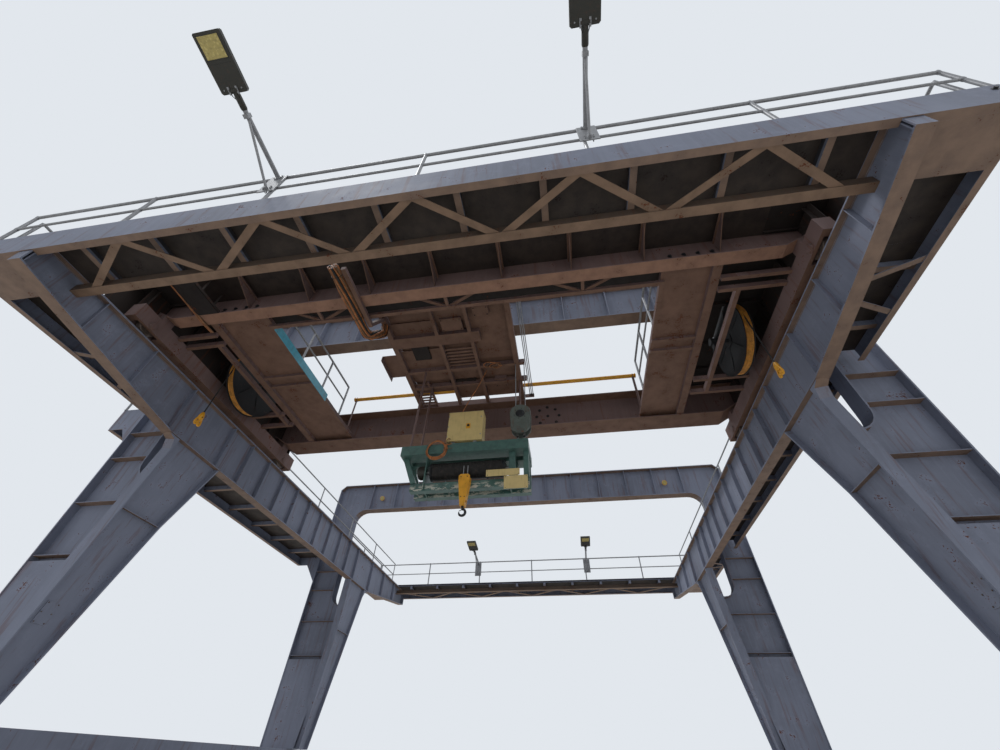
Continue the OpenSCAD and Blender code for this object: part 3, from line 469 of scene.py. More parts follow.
def mix_paints(settings):
    """Makes every finish once, from the colour settings."""
    if PAINTS:
        return
    s = {key: tuple(getattr(settings, key)) for key in settings.__annotations__ if key != "wear"}
    dust, rust = tone(170, 160, 146), s["rust"]
    frame_tones, bridge_tones = (s["frame"], s["frame_below"]), (s["bridge"], s["bridge_below"])

    def steel(name, face, below, rough=0.62, shade_height=None, more=0.0):
        return weathered(name, face, below, dust, rust, settings.wear + more, rough, shade_height)

    PAINTS.update(
        frame=steel("frame_paint", *frame_tones),
        # These two deck finishes darken their undersides above a height, as painted shade.
        frame_deck=steel("frame_deck_paint", *frame_tones, shade_height=SHADE_HEIGHT_FRAME),
        bridge_deck=steel("bridge_deck_paint", *bridge_tones, shade_height=SHADE_HEIGHT_BRIDGE),
        bridge=steel("bridge_paint", *bridge_tones, 0.64, more=0.15),
        # The girders' undersides are painted lighter, as painted light on their lower flanges.
        girder=steel("girder_paint", s["bridge"], shade(s["bridge_below"], 1.75), 0.64),
        # The lattice's upright faces are painted dark brown, as painted shade.
        lattice=steel("lattice_paint", tone(92, 78, 68), s["frame_below"]),
        # Near-black paint for the sheets, webs and seats under the bridge and trolley, as painted shadow.
        shadow=steel("sooty_paint", tone(50, 42, 39), tone(40, 33, 30), 0.7),
        zinc=zinc_coat("galvanised", s["zinc"], rust),
        hoist=peeled_paint("hoist_green", s["hoist"], tone(206, 204, 190), rust),
        # Near-black reel discs, as painted shadow.
        reel_side=dark_metal("reel_black", tone(22, 22, 24), rust, 0.6, 0.3),
        yellow=plain_paint("safety_yellow", s["yellow"], rust, 0.4, 0.5, 0.66),
        cream=plain_paint("cabinet_cream", s["cream"], rust, 0.4, 0.25, 0.72),
        teal=plain_paint("panel_teal", s["teal"], rust, 0.35, 0.5, 0.7),
        cable=cable_sheath("cable_orange", s["cable"], dust),
        wound=cable_sheath("cable_yellow", tone(206, 138, 40), dust),
        brown_cable=cable_sheath("cable_brown", tone(120, 84, 52), dust),
        black_cable=cable_sheath("rope_black", tone(28, 27, 28), tone(90, 84, 78), 0.6),
        dark=dark_metal("dark_steel", tone(40, 41, 43), rust),
        old_rope=dark_metal("greased_rope", tone(50, 47, 45), rust, 0.55, 0.4),
        bright=dark_metal("worn_steel", tone(120, 119, 118), rust, 0.38, 0.8),
        rail=dark_metal("rail_steel", tone(96, 84, 76), rust, 0.4, 0.7),
        tyre=rubber("tyre_rubber", tone(30, 30, 31), tone(122, 114, 104)),
        lamp_case=plain_paint("lamp_case", tone(42, 41, 34), rust, 0.45, 0.3, 0.75),
        lamp_glass=lamp_glass("lamp_glass", tone(176, 158, 86), tone(188, 171, 100)),
        sheave=plain_paint("sheave_grey", tone(88, 96, 90), rust, 0.5, 0.7, 0.64),
    )


# ---------------------------------------------------------------- mesh making


class Shape:
    """A mesh in the making. Solids are added in metres, each with the number of its finish."""

    def __init__(self):
        self.mesh = bmesh.new()
        self.place = Matrix.Identity(4)

    def loft(self, rings, paint=0, closed=False, smooth=True):
        """Skin between rings of as many points each, closed on itself or capped at its ends."""
        rows = [[self.mesh.verts.new(self.place @ Vector(p)) for p in ring] for ring in rings]
        pairs = list(zip(rows, rows[1:])) + ([(rows[-1], rows[0])] if closed else [])
        made = []
        for a, b in pairs:
            for i in range(len(a)):
                j = (i + 1) % len(a)
                face = self.mesh.faces.new((a[i], a[j], b[j], b[i]))
                face.smooth = smooth
                made.append(face)
        if not closed:
            made += [self.mesh.faces.new(rows[0][::-1]), self.mesh.faces.new(rows[-1])]
        for face in made:
            face.material_index = paint

    def prism(self, outline, push, paint=0):
        """A flat outline pushed along a vector."""
        outline = [Vector(p) for p in outline]
        self.loft([outline, [p + Vector(push) for p in outline]], paint, smooth=False)

    def block(self, low, high, paint=0):
        """A box between two corners."""
        (a, b, c), (d, e, g) = low, high
        self.prism([(a, b, c), (d, b, c), (d, e, c), (a, e, c)], (0, 0, g - c), paint)

    def turned(self, profile, start, axis, sides=32, paint=0, closed=False):
        """A profile of (distance, radius) pairs turned about an axis."""
        axis = Vector(axis).normalized()
        side = axis.orthogonal().normalized()
        other = axis.cross(side)
        self.loft([circle(Vector(start) + axis * out, side, other, radius, sides) for out, radius in profile],
                  paint, closed)

    def rod(self, a, b, radius, sides=16, paint=0):
        """A straight round bar between two points."""
        a, b = Vector(a), Vector(b)
        self.turned([(0, radius), ((b - a).length, radius)], a, b - a, sides, paint)

    def bolt(self, spot, axis, radius, height, paint=0, tip=None):
        """A hexagon nut or head on a face, narrower at its tip where that is given."""
        self.turned([(0, radius), (height, tip or radius)], spot, axis, 6, paint)

    def fins(self, centre, count, radius, start, stop, height, paint=0):
        """Cooling fins round a motor that lies along X."""
        for out in map(spoke, turns(count)):
            foot, half = centre + out * radius, X.cross(out) * 0.002
            self.prism([foot + X * start - half, foot + X * stop - half, foot + X * stop + half,
                        foot + X * start + half], out * height, paint)

    def tube(self, path, radius, sides=10, paint=0, closed=False, twist=0.0, lobes=0):
        """A round bar along a path, with twisted lobes where it is a rope."""
        path = [Vector(p) for p in path]
        count = len(path)
        radii = radius if isinstance(radius, (list, tuple)) else [radius] * count
        ahead = [(path[(i + 1) % count if closed else min(i + 1, count - 1)]
                  - path[i - 1 if closed else max(i - 1, 0)]).normalized() for i in range(count)]
        side = ahead[0].orthogonal().normalized()
        rings, gone = [], 0.0
        for i, (point, axis) in enumerate(zip(path, ahead)):
            if i:
                side = (side - axis * side.dot(axis)).normalized()
                gone += (point - path[i - 1]).length
            other = axis.cross(side)
            ring = []
            for k in range(sides):
                a = 2 * math.pi * k / sides
                r = radii[i]
                if lobes:
                    r *= 0.9 + 0.1 * abs(math.cos((a * lobes - twist * gone) / 2))
                ring.append(point + (side * math.cos(a) + other * math.sin(a)) * r)
            rings.append(ring)
        self.loft(rings, paint, closed)

    def rope(self, path, radius, lay, paint=0):
        """A rope of six strands. The lay is the length in which a strand goes round once."""
        self.tube(path, radius, 12, paint, twist=math.tau / lay, lobes=6)

    def loose(self, name, materials):
        """The mesh as an object that isn't in the scene yet."""
        bmesh.ops.recalc_face_normals(self.mesh, faces=self.mesh.faces[:])
        data = bpy.data.meshes.new(name)
        self.mesh.to_mesh(data)
        self.mesh.free()
        for material in materials:
            data.materials.append(material)
        return bpy.data.objects.new(name, data)

    def finish(self, name, body, paints, slot=None, replaces=(), bevel=0.0):
        """Makes the piece, which rides on its body."""
        piece = self.loose(name, [PAINTS[paint] for paint in paints])
        piece.data.set_sharp_from_angle(angle=SHARP)
        return settle(piece, body, replaces, bevel)


def settle(piece, body, replaces=(), bevel=0.0):
    """Links a finished piece to the scene, softens its edges and lets it ride."""
    bpy.context.scene.collection.objects.link(piece)
    if bevel:
        edge = piece.modifiers.new("Soft edges", "BEVEL")
        edge.width, edge.segments, edge.limit_method = bevel, 2, "ANGLE"
        edge.angle_limit = math.radians(40)
        edge.harden_normals = False
    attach(piece, body)
    if replaces:
        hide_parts(*replaces)
    return piece


def smooth_path(points, steps=8, closed=False):
    """A smooth line through points."""
    points = [Vector(p) for p in points]
    count = len(points)
    made = []
    for i in range(count if closed else count - 1):
        p = [points[(i + k) % count] if closed else points[min(max(i + k, 0), count - 1)] for k in (-1, 0, 1, 2)]
        for s in range(steps):
            t = s / steps
            made.append(0.5 * ((2 * p[1]) + (p[2] - p[0]) * t + (2 * p[0] - 5 * p[1] + 4 * p[2] - p[3]) * t * t
                               + (3 * p[1] - p[0] - 3 * p[2] + p[3]) * t ** 3))
    return made if closed else made + [points[-1]]


def circle(centre, across, up, radius, count):
    """Points round a circle that lies along two directions."""
    return [Vector(centre) + (Vector(across) * math.cos(a) + Vector(up) * math.sin(a)) * radius
            for a in (2 * math.pi * i / count for i in range(count))]


# ---------------------------------------------------------------- geometry nodes


class Pattern:
    """A tree of geometry nodes in the making, with named inputs."""

    def __init__(self, name, **inputs):
        self.tree = bpy.data.node_groups.new(name, "GeometryNodeTree")
        face = self.tree.interface
        for way in ("OUTPUT", "INPUT"):
            face.new_socket(name="Geometry", in_out=way, socket_type="NodeSocketGeometry")
        self.keys = {}
        for key, kind in inputs.items():
            socket = face.new_socket(name=key.capitalize(), in_out="INPUT", socket_type="NodeSocket" + kind)
            self.keys[key] = socket.identifier
        self.start = self.tree.nodes.new("NodeGroupInput")

    def given(self, key):
        return self.start.outputs[key.capitalize()]

    def add(self, kind, settings=None, output=0, **values):
        """Adds a node and returns an output of it.

        Socket names are given with _ for a space, or i and a number. A list is joined to one socket.
        """
        node = self.tree.nodes.new(kind)
        for key, value in (settings or {}).items():
            setattr(node, key, value)
        for key, value in values.items():
            numbered = key[0] == "i" and key[1:].isdigit()
            socket = node.inputs[int(key[1:]) if numbered else key.replace("_", " ")]
            for one in value if isinstance(value, list) else [value]:
                if isinstance(one, bpy.types.NodeSocket):
                    self.tree.links.new(one, socket)
                else:
                    socket.default_value = one
        return node.outputs[output]

    def times(self, first, second):
        return self.add("ShaderNodeMath", {"operation": "MULTIPLY"}, i0=first, i1=second)

    def vector(self, **parts):
        return self.add("ShaderNodeCombineXYZ", **parts)

    def end(self, geometry):
        """Closes the tree: real geometry with its finish."""
        real = self.add("GeometryNodeRealizeInstances", Geometry=geometry)
        painted = self.add("GeometryNodeSetMaterial", Geometry=real, Material=self.given("finish"))
        done = self.tree.nodes.new("NodeGroupOutput")
        self.tree.links.new(painted, done.inputs[0])
        return self

    def run(self, name, body, data, slot=None, **values):
        """Runs the tree on a mesh and turns the result into a plain piece on a body."""
        seed = bpy.data.objects.new(name + "_seed", data)
        bpy.context.scene.collection.objects.link(seed)
        modifier = seed.modifiers.new(self.tree.name, "NODES")
        modifier.node_group = self.tree
        for key, value in values.items():
            modifier[self.keys[key]] = value
        graph = bpy.context.evaluated_depsgraph_get()
        made = bpy.data.meshes.new_from_object(seed.evaluated_get(graph))
        bpy.data.objects.remove(seed)
        if not made.polygons:
            raise RuntimeError(f"{name} came out empty")
        made.name = name
        made.set_sharp_from_angle(angle=SHARP)
        return settle(bpy.data.objects.new(name, made), body)


def points_mesh(name, points, facings=None):
    """A mesh of loose points, each with the direction that it faces."""
    data = bpy.data.meshes.new(name)
    data.from_pydata([tuple(p) for p in points], [], [])
    if facings:
        facing = data.attributes.new("facing", "FLOAT_VECTOR", "POINT")
        facing.data.foreach_set("vector", [c for f in facings for c in f])
    return data


def lines_mesh(name, lines):
    """A mesh of open lines."""
    points, edges = [], []
    for line in lines:
        start = len(points)
        points += [tuple(p) for p in line]
        edges += [(start + i, start + i + 1) for i in range(len(line) - 1)]
    data = bpy.data.meshes.new(name)
    data.from_pydata(points, edges, [])
    return data


def bolt_pattern():
    """Bolt heads with washers at points, turned at random about their own axes."""
    p = Pattern("Bolt heads", width="Float", seed="Int", finish="Material")
    radius, height, lift, wide, thin = (p.times(p.given("width"), part) for part in (0.577, 0.62, 0.31, 0.95, 0.16))
    head = p.add("GeometryNodeMeshCylinder", Vertices=6, Radius=radius, Depth=height)
    washer = p.add("GeometryNodeMeshCylinder", Vertices=14, Radius=wide, Depth=thin)
    raised = p.add("GeometryNodeTransform", Geometry=head, Translation=p.vector(Z=lift))
    bolt = p.add("GeometryNodeJoinGeometry", Geometry=[raised, washer])
    facing = p.add("GeometryNodeInputNamedAttribute", {"data_type": "FLOAT_VECTOR"}, Name="facing")
    turn = p.add("FunctionNodeAlignRotationToVector", {"axis": "Z"}, Vector=facing)
    placed = p.add("GeometryNodeInstanceOnPoints", Points=p.given("geometry"), Instance=bolt, Rotation=turn)
    spin = p.add("FunctionNodeRandomValue", {"data_type": "FLOAT"}, 1, i2=0.0, i3=1.05, Seed=p.given("seed"))
    return p.end(p.add("GeometryNodeRotateInstances", Instances=placed, Rotation=p.vector(Z=spin)))


def weld_pattern():
    """Weld beads along lines, with a slight ripple."""
    p = Pattern("Weld beads", radius="Float", step="Float", finish="Material")
    curve = p.add("GeometryNodeMeshToCurve", Mesh=p.given("geometry"))
    even = p.add("GeometryNodeResampleCurve", {"mode": "LENGTH"}, Curve=curve, Length=p.given("step"))
    ripple = p.add("ShaderNodeTexNoise", Scale=60.0, Detail=2.0)
    size = p.add("ShaderNodeMapRange", Value=ripple, To_Min=0.75, To_Max=1.3)
    swollen = p.add("GeometryNodeSetCurveRadius", Curve=even, Radius=size)
    ring = p.add("GeometryNodeCurvePrimitiveCircle", Resolution=6, Radius=p.given("radius"))
    return p.end(p.add("GeometryNodeCurveToMesh", Curve=swollen, Profile_Curve=ring, Fill_Caps=True))


def tread_pattern():
    """Slanted lugs round tyres whose centres are the points, cut level with the ground."""
    p = Pattern("Tyre lugs", lugs="Int", radius="Float", depth="Float", width="Float", finish="Material")
    half, quarter = (p.times(p.given("width"), part) for part in (0.5, 0.245))
    lug = p.add("GeometryNodeMeshCube", Size=p.vector(X=half, Y=0.052, Z=p.given("depth")))
    rows = []
    for side in (-1.0, 1.0):
        one = p.add("GeometryNodeTransform", Geometry=lug, Translation=p.vector(X=p.times(quarter, side)),
                    Rotation=(0.0, 0.0, 0.42 * side))
        ring = p.add("GeometryNodeMeshCircle", Vertices=p.given("lugs"), Radius=p.given("radius"))
        upright = p.add("GeometryNodeTransform", Geometry=ring, Rotation=(0.0, math.pi / 2, 0.0))
        spun = p.add("GeometryNodeTransform", Geometry=upright, Rotation=(0.052 * side, 0.0, 0.0))
        turn = p.add("FunctionNodeAlignRotationToVector", {"axis": "Z", "pivot_axis": "X"},
                     Vector=p.add("GeometryNodeInputPosition"))
        rows.append(p.add("GeometryNodeInstanceOnPoints", Points=spun, Instance=one, Rotation=turn))
    tyres = p.add("GeometryNodeInstanceOnPoints", Points=p.given("geometry"),
                  Instance=p.add("GeometryNodeJoinGeometry", Geometry=rows))
    real = p.add("GeometryNodeRealizeInstances", Geometry=tyres)
    above = p.add("ShaderNodeVectorMath", {"operation": "MAXIMUM"},
                  i0=p.add("GeometryNodeInputPosition"), i1=(-100.0, -100.0, 0.0))
    return p.end(p.add("GeometryNodeSetPosition", Geometry=real, Position=above))


# ---------------------------------------------------------------- operators


class Maker:
    """What the operators share: finishes that exist, and the sizes."""

    bl_options = {"REGISTER", "UNDO"}

    def prepare(self, context):
        mix_paints(context.scene.crane_paint)
        return context.scene.crane_sizes


# The finish of each node, by how its name starts. The first that fits holds.
NODE_PAINTS = {
    "lattice": ("lattice",), "girder": ("bridge_front",), "frame_deck": ("platform", "walkway"),
    "bridge_deck": ("bridge_walkway",), "tyre": ("tyres",), "sheave": ("sheave_block",),
    "zinc": ("rail_", "lamps_", "bridge_rails", "trolley_ropes", "hook_ropes"),
    "yellow": ("hook_block", "guard_pipe", "pendants"), "hoist": ("hoist_frame",), "cream": ("cabinet",),
    "dark": ("bridge_wheels", "trolley_wheels", "reels", "hoist_drum", "hook"), "teal": ("side_panel",),
    "cable": ("trolley_cables",),
}


class CRANE_OT_paint(Maker, bpy.types.Operator):
    """Gives each node of the frame, bridge, trolley and hook its finish."""

    bl_idname = "crane.paint"
    bl_label = "Paint the steel"

    def execute(self, context):
        self.prepare(context)
        for body, members in frame["record"]["behaviour"]["bodies"].items():
            usual = "frame" if body == "frame" else "bridge"
            for node in members:
                kind = next((kind for kind, starts in NODE_PAINTS.items() if node.startswith(starts)), usual)
                slots = frame["nodes"][node].data.materials
                slots.clear()
                slots.append(PAINTS[kind])
        return {"FINISHED"}


class CRANE_OT_bolts(Maker, bpy.types.Operator):
    """Bolt heads on the fascias, under the handrail posts and on the girders of the bridge."""

    bl_idname = "crane.bolts"
    bl_label = "Bolt heads"

    def execute(self, context):
        sizes = self.prepare(context)
        pattern = bolt_pattern()
        proud = 0.009
        x, y, z, radius = 1.25, FAR_Y - proud, 7.295, 0.25
        fascia = [(at(side * 6.06, -7.4505, up), -Y) for side in SIDES for up in (6.30, 6.44, 6.60)]
        feet = [(at(k * 1.0 + 0.2 + dx, y, 7.05), -Y) for k in range(-4, 5) for dx in (-0.05, 0.05)]
        girders = [(at(x + radius * math.cos(a), y, z + radius * math.sin(a)), -Y) for a in turns(8)]
        girders.append((at(x, y, z), -Y))
        for side in SIDES:
            first = 3.30 if side > 0 else 3.40
            for web, way in ((NEAR_Y, 1), (FAR_Y, -1)):
                girders += [(at(side * (first + k * 0.2), web - way * proud, up), -Y * way)
                            for k in range(4) for up in (7.12, 7.04)]
        for body, paint, found in (("frame", "dark", fascia), ("bridge", "dark", girders), ("bridge", "zinc", feet)):
            name = f"{body}_bolts_{paint}"
            pattern.run(name, body, points_mesh(name, *zip(*found)), width=sizes.bolt, seed=7, finish=PAINTS[paint])
        return {"FINISHED"}


class CRANE_OT_welds(Maker, bpy.types.Operator):
    """Weld beads between webs and flanges."""

    bl_idname = "crane.welds"
    bl_label = "Weld beads"

    def execute(self, context):
        sizes = self.prepare(context)
        pattern = weld_pattern()
        offsets = (-0.012, 0.012)
        fixed, moving = [], []
        for x in (side * GIRDER_X + off for side in SIDES for off in offsets):
            fixed.append([at(x, -7.42, 6.447), at(x, 7.42, 6.447)])
            fixed.append([at(x, -7.42, 6.053), at(x, -4.45, 5.583), at(x, 4.20, 5.583), at(x, 7.42, 6.053)])
        for webs, beads, runs in ((PORTALS, fixed, ((5.37, 8.008), (6.36, 8.922))),
                                  ((NEAR_Y, FAR_Y), moving, ((4.78, 6.924), (BRIDGE_END, 7.626)))):
            for y in (web + off for web in webs for off in offsets):
                beads += [[at(-end, y, z), at(end, y, z)] for end, z in runs]
        for body, beads in (("frame", fixed), ("bridge", moving)):
            name = body + "_welds"
            pattern.run(name, body, lines_mesh(name, beads), body + "_paint",
                        radius=sizes.weld, step=0.05, finish=PAINTS[body])
        return {"FINISHED"}


class CRANE_OT_tyres(Maker, bpy.types.Operator):
    """Eight tyres with slanted lugs, and their rims."""

    bl_idname = "crane.tyres"
    bl_label = "Tyres and rims"

    def execute(self, context):
        sizes = self.prepare(context)
        low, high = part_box("tyres")
        radius = (high.z + TYRE_SINK) / 2
        right = [round(v.co.x, 4) for v in frame["nodes"]["tyres"].data.vertices if v.co.x > 0]
        w = (max(right) - min(right)) / 2
        rows = (low.y + radius, low.y + radius + AXLE_PITCH, high.y - radius - AXLE_PITCH, high.y - radius)
        centres = [Vector((x, y, radius - TYRE_SINK)) for x in (low.x + w, high.x - w) for y in rows]
        tread = radius - sizes.lug
        wall = both_ways([(w - 0.02, radius * 0.54), (w, radius * 0.66), (w, radius * 0.82), (w - 0.015, radius * 0.9),
                          (w - 0.045, tread), (0.02, tread + 0.004)])
        rim = both_ways([(w - 0.022, radius * 0.545), (w - 0.012, radius * 0.575), (w - 0.03, radius * 0.57),
                         (w - 0.05, radius * 0.5), (0.07, radius * 0.47), (0.05, radius * 0.2), (0.0, radius * 0.19)])
        tyres, rims = Shape(), Shape()
        for c in centres:
            tyres.turned(wall, c, X, 64)
            rims.turned(rim, c, X, 48)
            for s in SIDES:
                rims.turned([(0.0, 0.115), (0.075, 0.11), (0.08, 0.07), (0.13, 0.066), (0.138, 0.05)],
                            c + X * s * 0.04, X * s, 24)
                for a in turns(10):
                    rims.bolt(c + spoke(a) * 0.165 + X * s * 0.052, X * s, 0.017, 0.03, 1)
            rims.rod(c - X * (w + 0.022), c + X * (w + 0.022), 0.045, 20, 1)
        for vert in tyres.mesh.verts:
            vert.co.z = max(vert.co.z, 0.0)
        tyres.finish("tyre_walls", "frame", ["tyre"], "tyre_rubber", ("tyres",))
        rims.finish("wheel_rims", "frame", ["frame", "rail"], "frame_paint", ("rims",))
        tread_pattern().run("tyre_lugs", "frame", points_mesh("tyre_lugs", centres), "tyre_rubber",
                            lugs=sizes.lugs, radius=tread + sizes.lug / 2 - 0.004, depth=sizes.lug + 0.006,
                            width=2 * w - 0.02, finish=PAINTS["tyre"])
        return {"FINISHED"}


class CRANE_OT_lamps(Maker, bpy.types.Operator):
    """Four lamps with their arms, braces and clamp plates."""

    bl_idname = "crane.lamps"
    bl_label = "Lamps"

    def execute(self, context):
        self.prepare(context)
        for node, rail_y, tilt in (("lamps_front", -RAIL_Y, 2.5), ("lamps_rear", RAIL_Y, 9.0)):
            shape = Shape()
            for x in (-2.11, 2.11):
                self.lamp(shape, at(x, rail_y, RAIL_TOP), math.radians(tilt))
            shape.finish(node + "_fitted", "frame", ["zinc", "lamp_case", "lamp_glass"], "galvanised",
                         (node,), 0.003)
        return {"FINISHED"}

    def lamp(self, shape, foot, tilt):
        """One lamp on the outer side of a handrail."""
        wall, reach, head = -0.0213, 1.625, 0.61
        plate = wall - 0.012
        arm = reach + plate - head
        shape.place = Matrix.Translation(foot)
        shape.block((-0.12, plate, -0.52), (0.12, wall, 0.0))
        for z in (-0.03, -0.40):
            bow = ((0.0, wall - 0.03, z), (0.0, 0.012, z), (0.001, 0.0182, z - 0.02), (0.0, 0.012, z - 0.045),
                   (0.0, wall - 0.03, z - 0.045))
            for x in (-0.05, 0.05):
                shape.tube(smooth_path([(x + dx, y, up) for dx, y, up in bow], 4), 0.006, 8)
                for up in (z, z - 0.045):
                    shape.bolt((x, plate, up), -Y, 0.012, 0.012)
        shape.rod((0, wall - 0.006, -0.46), (0, wall - 0.76 * arm, -0.06 + 0.74 * arm * math.sin(tilt)), 0.017, 14)
        shape.block((-0.02, wall - 0.05, -0.485), (0.02, plate, -0.435))
        shape.place = Matrix.Translation(foot + Vector((0, plate, -0.06))) @ Matrix.Rotation(-tilt, 4, "X")
        shape.rod((0, 0.004, 0), (0, -arm - 0.03, 0), 0.030, 20)
        shape.turned([(0, 0.055), (0.012, 0.055)], (0, 0.0, 0), -Y, 20)
        shape.block((-0.035, -0.74 * arm, -0.05), (0.035, -0.74 * arm - 0.05, 0.036))
        shape.turned([(0, 0.034), (0.02, 0.040), (0.16, 0.040), (0.19, 0.036)], (0, -arm + 0.17, 0), -Y, 20, 1)
        tip = (reach + plate - 0.035 * math.sin(tilt)) / math.cos(tilt)
        self.head(shape, -tip + 0.007 + 0.06 * math.sin(tilt), -tip + 0.60)
        shape.place = Matrix.Identity(4)

    def head(self, shape, far, near):
        """The flat case of a lamp, with fins on top and the framed glass below."""
        half = 0.17
        outline = [(-half, near - 0.02), (-half, far + 0.015), (-half + 0.015, far), (half - 0.015, far),
                   (half, far + 0.015), (half, near - 0.02), (half - 0.02, near), (-half + 0.02, near)]
        shape.prism([(a, b, -0.022) for a, b in outline], (0, 0, 0.050), 1)
        shape.prism([(a * 0.975, b, -0.033) for a, b in outline], (0, 0, 0.012), 1)
        for fin in (-0.125 + i * 0.025 for i in range(11)):
            shape.block((fin - 0.003, far + 0.05, 0.026), (fin + 0.003, near - 0.14, 0.034), 1)
        shape.block((-0.128, far + 0.035, -0.0345), (0.128, far + 0.25, -0.032), 2)
        for start, stop in ((0.025, 0.035), (0.250, 0.260), (0.29, 0.296), (0.555, 0.561)):
            shape.block((-0.138, far + start, -0.0348), (0.138, far + stop, -0.032), 1)
        for s in SIDES:
            shape.block((s * 0.133 - 0.005, far + 0.025, -0.0348), (s * 0.133 + 0.005, far + 0.26, -0.032), 1)
            shape.turned([(0, 0.010), (0.004, 0.008)], (s * 0.115, near - 0.045, -0.033), -Z, 10, 0)
            shape.block((s * 0.052 - 0.012, near - 0.075, -0.045), (s * 0.052 + 0.012, near + 0.012, -0.031), 0)
            shape.tube([(s * 0.03, near - 0.05, -0.045), (s * 0.045, near + 0.02, -0.040),
                        (s * 0.03, near + 0.06, -0.02)], 0.005, 6, 1)
        shape.block((-0.055, near - 0.05, -0.046), (0.055, near - 0.018, -0.032), 1)


class CRANE_OT_handrails(Maker, bpy.types.Operator):
    """Foot plates and joint collars on the handrails, and light rails beside the side walkways."""

    bl_idname = "crane.handrails"
    bl_label = "Handrail fittings"

    def execute(self, context):
        self.prepare(context)
        shape = Shape()
        posts = [(-6.15 + 2.05 * i, end * RAIL_Y) for end in SIDES for i in range(7)]
        posts += [(-7.303, -3.845 + 7.44 * i / 4) for i in range(5)]
        for x, y in posts:
            foot = at(x, y, 6.7203)
            shape.block(foot - Vector((0.024, 0.024, 0.0)), foot + Vector((0.024, 0.024, 0.008)))
            shape.turned([(0, 0.0225), (0.006, 0.024), (0.012, 0.0225)], foot + Z * 0.008, Z, 16)
            for up in (0.382, 0.756):
                shape.turned([(0, 0.0225), (0.012, 0.0245), (0.036, 0.0245), (0.048, 0.0225)], foot + Z * up, Z, 16)
        self.inner_rails(shape)
        shape.finish("handrail_fittings", "frame", ["zinc"], "galvanised")
        return {"FINISHED"}

    def inner_rails(self, shape):
        """Light rails on the inner edge of each side walkway, clear of the bridge."""
        radius = 0.017
        for x in (-5.565, 5.565):
            for z in (RAIL_TOP - 0.40, RAIL_TOP):
                shape.rod(at(x, -3.20, z), at(x, 7.33, z), radius, 12)
            for y in (min(-3.18 + i * 2.10, 7.31) for i in range(6)):
                foot = at(x, y, 6.4695)
                shape.rod(foot, at(x, y, RAIL_TOP), radius, 12)
                shape.block(foot - Vector((0.04, 0.04, 0)), foot + Vector((0.04, 0.04, 0.008)))


